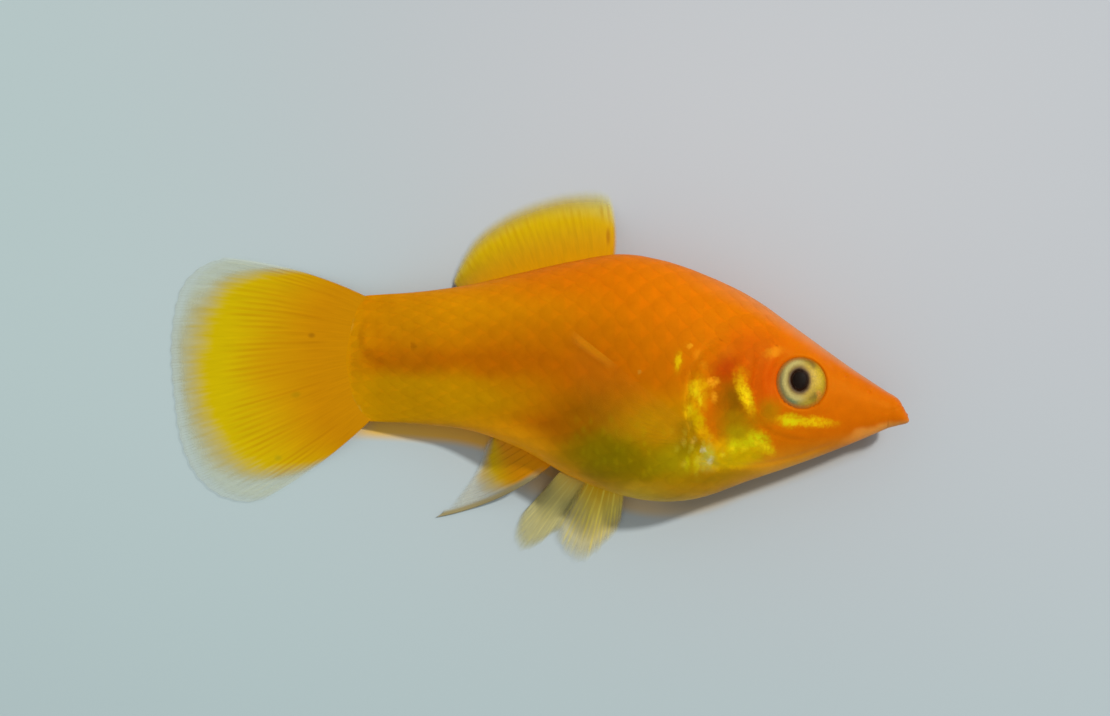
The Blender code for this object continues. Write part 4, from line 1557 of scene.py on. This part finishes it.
def fan_group():
    """Masks for a fin: where its colour reaches, streaks along its rays, and the rays."""
    tree, given, made = group(
        "ShaderNodeTree",
        "fin fan",
        [
            ("Fan", "NodeSocketVector", None),
            ("Reach", "NodeSocketFloat", 0.8),
            ("Softness", "NodeSocketFloat", 0.1),
            ("Rays", "NodeSocketFloat", 12.0),
            ("Seed", "NodeSocketFloat", 0.0),
        ],
        [("Colour", "NodeSocketFloat"), ("Streak", "NodeSocketFloat"), ("Ray", "NodeSocketFloat")],
    )
    fan = given.outputs["Fan"]
    across, out = parted(tree, fan)[:2]
    seed = joined(tree, z=given.outputs["Seed"])

    def fan_noise(stretch, scale, detail):
        place = vector_calc(tree, "MULTIPLY", fan, stretch)
        place = vector_calc(tree, "ADD", place, seed)
        return noise(tree, place, scale, detail).outputs["Fac"]

    # The colour ends unevenly: in fine streaks along the rays, and in broad blotches.
    streak = fan_noise((1.0, 0.06, 1.0), 90.0, 2.0)
    blotch = fan_noise((1.0, 1.0, 1.0), 5.0, 3.0)
    moved, unevenness = out, 0.12
    for wave in (streak, blotch):
        centred = calc(tree, "SUBTRACT", wave, 0.5)
        moved = calc(tree, "MULTIPLY_ADD", centred, unevenness, moved)
    low = calc(tree, "SUBTRACT", given.outputs["Reach"], given.outputs["Softness"])
    high = calc(tree, "ADD", given.outputs["Reach"], given.outputs["Softness"])
    feed(tree, made.inputs["Colour"], soft_step(tree, moved, high, low))
    feed(tree, made.inputs["Streak"], streak)

    # Each ray doubles on its way out, where it splits.
    gaps = calc(tree, "SUBTRACT", given.outputs["Rays"], 1.0)
    turns = product(tree, across, gaps, 2 * math.pi)
    single = soft_step(tree, calc(tree, "COSINE", turns), 0.2, 1.0)
    double = soft_step(tree, calc(tree, "COSINE", product(tree, turns, 2.0)), -0.6, 1.0)
    branches = blend_numbers(tree, soft_step(tree, out, 0.30, 0.50), single, double)
    # Some rays show more than others, and each shows more in some stretches.
    stretches = fan_noise((14.0, 1.8, 1.0), 1.0, 2.0)
    shown = product(tree, branches, soft_step(tree, stretches, 0.34, 0.62))
    feed(tree, made.inputs["Ray"], shown)
    return tree


def fin_material(name, fin, fan_masks, grain, seed, as_rays=False):
    """A fin's membrane or its rays: coloured near the body, clear towards the margin."""
    made, tree, shader = new_material(
        name,
        {"IOR": 1.3, "Specular IOR Level": 0.3, "Specular Tint": (1.0, 0.8, 0.3, 1.0)},
    )
    fan = step(tree, "ShaderNodeAttribute", attribute_name="fan").outputs["Vector"]
    across, out = parted(tree, fan)[:2]
    values = {"Reach": curve_through(tree, across, fin["reach"]), "Softness": fin["soft"]}
    masks = use_group(tree, fan_masks, Fan=fan, Rays=float(fin["rays"]), Seed=seed, **values)
    # Where the colour thins out, the paint stays yellow and only its cover gets less.
    tint = calc(tree, "POWER", masks["Colour"], 0.65)
    colour = blend_colours(tree, tint, linear(fin["clear"]), linear(fin["colour"]))
    flesh_from, flesh_to = fin["flesh end"]
    fleshy = product(tree, soft_step(tree, out, flesh_to, flesh_from), masks["Colour"])
    colour = blend_colours(tree, fleshy, colour, linear(fin["flesh"]))
    start, end = fin["ray band"]
    band_start = soft_step(tree, out, start, start + 0.12)
    band_end = soft_step(tree, out, end + 0.18, end)
    on_ray = product(tree, band_start, band_end, masks["Ray"], fin["ray strength"])
    colour = blend_colours(tree, on_ray, colour, linear(fin["ray colour"]))
    colour = shaded(tree, colour, calc(tree, "MULTIPLY_ADD", masks["Streak"], 0.24, 0.88))
    place = body_place(tree)
    colour = add_patches(tree, flattened(tree, place), colour, fin["marks"])

    full, clear = fin["alpha"]
    if as_rays:
        clear *= CLEAR_RAY_COVER
    thin = product(tree, calc(tree, "MULTIPLY_ADD", masks["Streak"], 0.9, 0.55), clear)
    fade_from, fade_to, left = fin["fade"]
    fade = calc(tree, "ADD", soft_step(tree, out, fade_to, fade_from, 1.0 - left), left)
    front, rear = fin["sides"]
    alpha = product(
        tree,
        blend_numbers(tree, masks["Colour"], thin, full),
        fade,
        soft_step(tree, across, 0.0, front),
        soft_step(tree, across, 1.0, 1.0 - rear),
    )
    if fin["rim"]:
        rim = soft_step(tree, out, 0.96, 0.985, fin["rim"])
        alpha = calc(tree, "ADD", alpha, rim, clamp=True)
    if fin["edge"]:
        width, start, end, strength, edge_colour = fin["edge"]
        edge = product(
            tree,
            soft_step(tree, across, width, width * 0.3),
            soft_step(tree, out, start - 0.1, start + 0.1),
            soft_step(tree, out, end + 0.06, end - 0.06),
        )
        colour = blend_colours(tree, edge, colour, linear(edge_colour))
        alpha = calc(tree, "MAXIMUM", alpha, product(tree, edge, strength))
    feed(tree, shader.inputs["Base Color"], colour)
    feed(tree, shader.inputs["Alpha"], alpha)
    surface = use_group(tree, grain, Place=place, Size=0.8, Roughness=0.5, Spread=0.2)
    feed_surface(tree, shader, surface["Roughness"], surface["Height"], 0.3, 0.03)
    return made


def make_fins(grain):
    """Every fin's membrane and rays."""
    masks = fan_group()
    tree = ray_tree()
    for number, (name, own) in enumerate(FINS.items()):
        fin = {**PLAIN_FIN, **own}
        plain = name.replace("_", " ")
        shared = (fin, masks, grain, float(number))
        finish = fin_material(plain + " membrane", *shared)
        finish_with(membrane(name + "_membrane", fin), finish, "yellow_fin", name)
        ray_finish = fin_material(plain + " rays", *shared, as_rays=True)
        lines = rays(name + "_rays", fin, tree, ray_finish)
        finish_with(lines, ray_finish, "yellow_fin")


# Eyes

# Outlines from the axis outwards or inwards, as radius and height over the flank.
GLOBE_OUTLINE = (
    (0.0, -1.45), (1.1, -1.32), (1.9, -1.02), (2.36, -0.70), (2.52, -0.50), (2.47, -0.37),
    (2.30, -0.26), (2.08, -0.18), (1.80, -0.11), (1.50, -0.05), (1.25, -0.02), (1.08, -0.03),
    (1.01, -0.07), (0.97, -0.14), (0.96, -0.32), (0.0, -0.34),
)
PUPIL_OUTLINE = (
    (0.0, -0.60), (0.90, -0.50), (0.985, -0.30), (0.97, -0.18), (0.84, -0.11), (0.5, -0.06),
    (0.0, -0.04),
)
CORNEA_OUTLINE = (
    (0.0, 0.26), (0.6, 0.235), (1.2, 0.15), (1.75, 0.01), (2.15, -0.15), (2.34, -0.27),
    (2.40, -0.30), (2.36, -0.22), (2.18, -0.09), (1.78, 0.08), (1.22, 0.22), (0.6, 0.31),
    (0.0, 0.34),
)
EYE_SIDES = 72
EYE_OUTLINE_STEPS = 40
# How much wider and taller than round the eye is, and between which radii that turns into
# the pupil's own oval.
EYE_OVAL = (0.985, 1.01)
PUPIL_OVAL_RADII = (1.95, 1.05)


def turned_piece(name, outline, side):
    """A shape turned round an eye's axis, whose inner part takes the pupil's oval and place."""
    place, axis, forwards, upwards = eye_frame(side)
    shift = PUPIL_SHIFT[0] * forwards + PUPIL_SHIFT[1] * upwards
    angles = np.arange(EYE_SIDES) * 2 * math.pi / EYE_SIDES
    rings = []
    for share in np.linspace(0.0, 1.0, EYE_OUTLINE_STEPS + 1)[1:-1]:
        radius, height = along(outline, share)
        radius = max(radius, 0.001)
        inner = float(between(*PUPIL_OVAL_RADII, radius))
        wide, tall = [
            radius * (whole * (1 - inner) + pupil * inner)
            for whole, pupil in zip(EYE_OVAL, PUPIL_HALF)
        ]
        ring = np.outer(np.cos(angles) * wide, forwards) + np.outer(np.sin(angles) * tall, upwards)
        rings.append(place + axis * height + ring + inner * shift)
    ends = [place + axis * outline[k][1] + shift for k in (0, -1)]
    piece = mesh_object(name, np.vstack([*rings, *ends]), tube_faces(len(rings), EYE_SIDES))
    turn_outwards(piece.data)
    return piece


# Patches of the iris, from the pupil's middle: centre, half sizes, turn, strength and colour.
IRIS_PATCHES = (
    ((-1.85, 0.00), (0.36, 1.20), 0, 0.8, (126, 116, 72)),
    ((-0.75, -1.95), (0.90, 0.46), 14, 0.9, (104, 122, 84)),
    ((-1.35, 1.30), (0.60, 0.50), 40, 0.7, (156, 142, 74)),
    ((0.75, 1.80), (1.20, 0.45), -28, 0.9, (112, 84, 5)),
    ((1.85, 0.30), (0.44, 1.20), 0, 0.9, (194, 160, 4)),
    ((1.20, -1.60), (0.46, 0.55), 0, 0.8, (118, 96, 5)),
    ((1.85, -1.40), (0.26, 0.42), 0, 0.7, (196, 122, 30)),
    ((0.55, -2.05), (0.70, 0.26), 10, 0.7, (176, 148, 34)),
)
# Dark rings round the pupil, in pupils across: where each starts and is full, strength, colour.
PUPIL_HALO = (
    (1.80, 1.22, 0.80, (132, 98, 36)),
    (1.52, 1.02, 1.0, (54, 28, 10)),
)
# The iris's ground and the pale ring round its pupil, behind and in front, and its rim.
IRIS_GROUND = ((124, 114, 66), (170, 136, 3))
IRIS_RING = ((208, 190, 112), (186, 154, 42))
IRIS_RIM = (184, 102, 8)
# How far the edges of its patches and of the dark rings wander, and how fine that is.
IRIS_WANDER = ((0.36, 0.36, 0.0), 1.8)
HALO_WANDER = ((0.12, 0.12, 0.0), 1.8)
# The pupil's darkest and warmest paint, and its rim's.
PUPIL_COLOURS = ((8, 4, 4), (26, 12, 6), (54, 26, 8))
PUPIL_CENTRE = (EYE_CENTRE[0] + PUPIL_SHIFT[0], EYE_CENTRE[1] + PUPIL_SHIFT[1])


def iris_material(grain):
    """Pale gold round the pupil, grey-green behind and yellow in front, brown at the rim."""
    made, tree, shader = new_material("gold iris", {"IOR": 1.35, "Specular IOR Level": 0.3})
    place = body_place(tree)
    flat = flattened(tree, place)
    from_pupil = vector_calc(tree, "SUBTRACT", flat, (*PUPIL_CENTRE, 0.0))
    wobble = warped(tree, from_pupil, *IRIS_WANDER)
    forwards = parted(tree, wobble)[0]
    gentle = warped(tree, from_pupil, *HALO_WANDER)
    pupils_out = vector_calc(tree, "DIVIDE", gentle, (*PUPIL_HALF, 1.0))
    pupils_out = vector_calc(tree, "LENGTH", pupils_out)
    behind, in_front = IRIS_GROUND
    front_part = soft_step(tree, forwards, -0.2, 1.4)
    colour = blend_colours(tree, front_part, linear(behind), linear(in_front))
    colour = add_patches(tree, wobble, colour, IRIS_PATCHES)
    behind, in_front = IRIS_RING
    front_part = soft_step(tree, forwards, -0.4, 1.0)
    ring_colour = blend_colours(tree, front_part, linear(behind), linear(in_front))
    ring = soft_step(tree, pupils_out, 2.35, 1.70, 0.85)
    colour = blend_colours(tree, ring, colour, ring_colour)
    for wide, narrow, strength, shade in PUPIL_HALO:
        halo = soft_step(tree, pupils_out, wide, narrow, strength)
        colour = blend_colours(tree, halo, colour, linear(shade))
    from_middle = vector_calc(tree, "SUBTRACT", flat, (*EYE_CENTRE, 0.0))
    radius = vector_calc(tree, "LENGTH", from_middle)
    rim = soft_step(tree, radius, EYE_RADIUS - 0.50, EYE_RADIUS - 0.04, 0.85)
    colour = blend_colours(tree, rim, colour, linear(IRIS_RIM))
    threads = noise(tree, flattened(tree, scaled(tree, wobble, 3.0)), 2.5, 4.0).outputs["Fac"]
    colour = shaded(tree, colour, calc(tree, "MULTIPLY_ADD", threads, 0.9, 0.55))
    feed(tree, shader.inputs["Base Color"], colour)
    feed(tree, shader.inputs["Metallic"], product(tree, threads, 0.15))
    surface = use_group(tree, grain, Place=place, Size=0.5, Roughness=0.46, Spread=0.2)
    feed_surface(tree, shader, surface["Roughness"], threads, 0.35, 0.04)
    return made


def pupil_material(grain):
    """Near black, a little browner at its rim."""
    made, tree, shader = new_material("pupil", {"IOR": 1.2, "Specular IOR Level": 0.15})
    place = body_place(tree)
    surface = use_group(tree, grain, Place=place, Size=0.6, Roughness=0.60, Spread=0.1)
    dark, warm, rim = [linear(colour) for colour in PUPIL_COLOURS]
    colour = blend_colours(tree, surface["Height"], dark, warm)
    half = [0.9 * size for size in PUPIL_HALF]
    middle = spot_mask(tree, flattened(tree, place), PUPIL_CENTRE, half, soft=0.2)
    colour = blend_colours(tree, middle, rim, colour)
    feed(tree, shader.inputs["Base Color"], colour)
    feed(tree, shader.inputs["Roughness"], surface["Roughness"])
    return made


def cornea_material(grain):
    made, tree, shader = new_material(
        "clear cornea",
        {"Alpha": 0.03, "Specular IOR Level": 0.2, "Base Color": (0.06, 0.05, 0.03, 1.0)},
    )
    place = body_place(tree)
    surface = use_group(tree, grain, Place=place, Size=2.0, Roughness=0.34, Spread=0.08)
    feed_surface(tree, shader, surface["Roughness"], surface["Height"], 0.05, 0.02)
    return made


def make_eyes(grain):
    """Each eye's globe with the iris on its front, its pupil and its cornea."""
    iris, pupil, cornea = iris_material(grain), pupil_material(grain), cornea_material(grain)
    for name, side in (("eye_right", 1), ("eye_left", -1)):
        finish_with(turned_piece(name + "_iris", GLOBE_OUTLINE, side), iris, "gold_iris", name)
        finish_with(turned_piece(name + "_pupil", PUPIL_OUTLINE, side), pupil, "gold_iris")
        finish_with(turned_piece(name + "_cornea", CORNEA_OUTLINE, side), cornea, "gold_iris")


# Camera, light and floor


def add_camera():
    lens = bpy.data.cameras.new("camera")
    lens.sensor_width = SENSOR_WIDTH
    lens.lens = SENSOR_WIDTH * CAMERA_DISTANCE / VIEW_WIDTH
    lens.clip_start, lens.clip_end = CLIP_METRES
    camera = add_object("camera", lens)
    camera.location = Vector((*CAMERA_ABOVE, CAMERA_PLANE + CAMERA_DISTANCE)) * MM
    bpy.context.scene.camera = camera


def add_light():
    """A small lamp far off, for the photo's shadows, and a soft sky."""
    lamp = bpy.data.lights.new("key", "AREA")
    lamp.shape = "DISK"
    lamp.size = KEY_SIZE * MM
    lamp.energy = KEY_POWER
    lamp.color = KEY_COLOUR
    key = add_object("key", lamp)
    direction = Vector(KEY_DIRECTION).normalized()
    key.location = -direction * KEY_DISTANCE * MM
    key.rotation_mode = "QUATERNION"
    key.rotation_quaternion = direction.to_track_quat("-Z", "Y")
    world = bpy.data.worlds.new("soft sky")
    world.use_nodes = True
    background = world.node_tree.nodes["Background"]
    background.inputs["Color"].default_value = (*SKY_COLOUR, 1.0)
    background.inputs["Strength"].default_value = SKY_STRENGTH
    bpy.context.scene.world = world


# The floor's half size in millimetres, and its colours, which paint uneven light on it: to the
# left and to the right, towards the lower edge of the view, in its painted pool of light, and
# beside the fish in its painted glow and in its painted shade.
FLOOR_HALF_SIZE = 3000.0
FLOOR_LEFT = (184, 202, 202)
FLOOR_RIGHT = (189, 193, 197)
FLOOR_LOW = (176, 194, 196)
FLOOR_PAINTED_LIGHT = (199, 200, 203)
FLOOR_PAINTED_GLOW = (236, 186, 50)
FLOOR_PAINTED_SHADE = (148, 141, 124)


def beside_fish(tree, x, below, from_belly, under_belly, along_x, strength=1.0):
    """A strip of floor beside the belly, from none to full on each of its four sides."""
    return product(
        tree,
        soft_step(tree, below, *from_belly, strength),
        soft_step(tree, below, *under_belly),
        *[soft_step(tree, x, far, near) for far, near in along_x],
    )


def add_floor():
    """A pale floor drifting in colour as painted uneven light, with the fish's painted glow and
    shade.
    """
    size = FLOOR_HALF_SIZE
    corners = [(-size, -size, 0.0), (size, -size, 0.0), (size, size, 0.0), (-size, size, 0.0)]
    floor = mesh_object("floor", corners, [(0, 1, 2, 3)])
    values = {"Roughness": 0.8, "Specular IOR Level": 0.2}
    material, tree, shader = new_material("pale floor", values)
    flat = flattened(tree, body_place(tree))
    x, y = parted(tree, flat)[:2]
    # Painted uneven light: the colour drifts from left to right and towards -Y, with a painted
    # pool of light up and to the right.
    slant = calc(tree, "MULTIPLY_ADD", y, 0.45, x)
    right_part = soft_step(tree, slant, -50.0, 25.0)
    colour = blend_colours(tree, right_part, linear(FLOOR_LEFT), linear(FLOOR_RIGHT))
    low_part = soft_step(tree, y, 12.0, -62.0)
    colour = blend_colours(tree, low_part, colour, linear(FLOOR_LOW))
    painted_light_part = spot_mask(tree, flat, (20.0, 24.0), (26.0, 18.0), soft=1.0, strength=0.6)
    colour = blend_colours(tree, painted_light_part, colour, linear(FLOOR_PAINTED_LIGHT))
    # Painted glow: the fish's own orange in the light that reaches the floor beside its lower
    # edge, painted into the floor, strongest by the tail and in a spot behind the vent.
    below = calc(tree, "SUBTRACT", outline_line(tree, x, 2), y)
    along_x = ((-20.0, -15.0), (34.0, 4.0))
    glow = beside_fish(tree, x, below, (1.9, 0.8), (-6.0, -3.0), along_x)
    by_tail = calc(tree, "ADD", soft_step(tree, x, 6.0, -4.0, 0.40), 0.50)
    painted_glow_behind_vent = spot_mask(tree, flat, (1.6, -10.0), (3.2, 1.6), soft=0.6, strength=0.5)
    glow = calc(tree, "MAXIMUM", product(tree, glow, by_tail), painted_glow_behind_vent)
    colour = blend_colours(tree, glow, colour, linear(FLOOR_PAINTED_GLOW))
    # Painted shade: the deeper shade right beside the jaw and the belly, painted into the floor.
    along_x = ((9.0, 15.0), (33.5, 30.5))
    shade = beside_fish(tree, x, below, (2.2, 0.2), (-5.0, -3.0), along_x, 0.65)
    colour = blend_colours(tree, shade, colour, linear(FLOOR_PAINTED_SHADE))
    feed(tree, shader.inputs["Base Color"], colour)
    floor.data.materials.append(material)


def main():
    add_camera()
    add_light()
    add_floor()
    bpy.context.scene.view_settings.view_transform = "Standard"

    markings, grain = markings_group(), grain_group()
    body = skin()
    scale_finish = skin_material("orange scales", markings, grain, "rim")
    coats = scale_coats(body, scale_finish)
    flesh = ("head", "lower_jaw", "gill_cover_right", "gill_cover_left", "trunk", "tail_stem")
    finish_with(body, skin_material("wet orange skin", markings, grain), "orange_skin", *flesh)
    for coat in coats:
        finish_with(coat, scale_finish, "orange_skin")
    make_fins(grain)
    make_eyes(grain)


main()
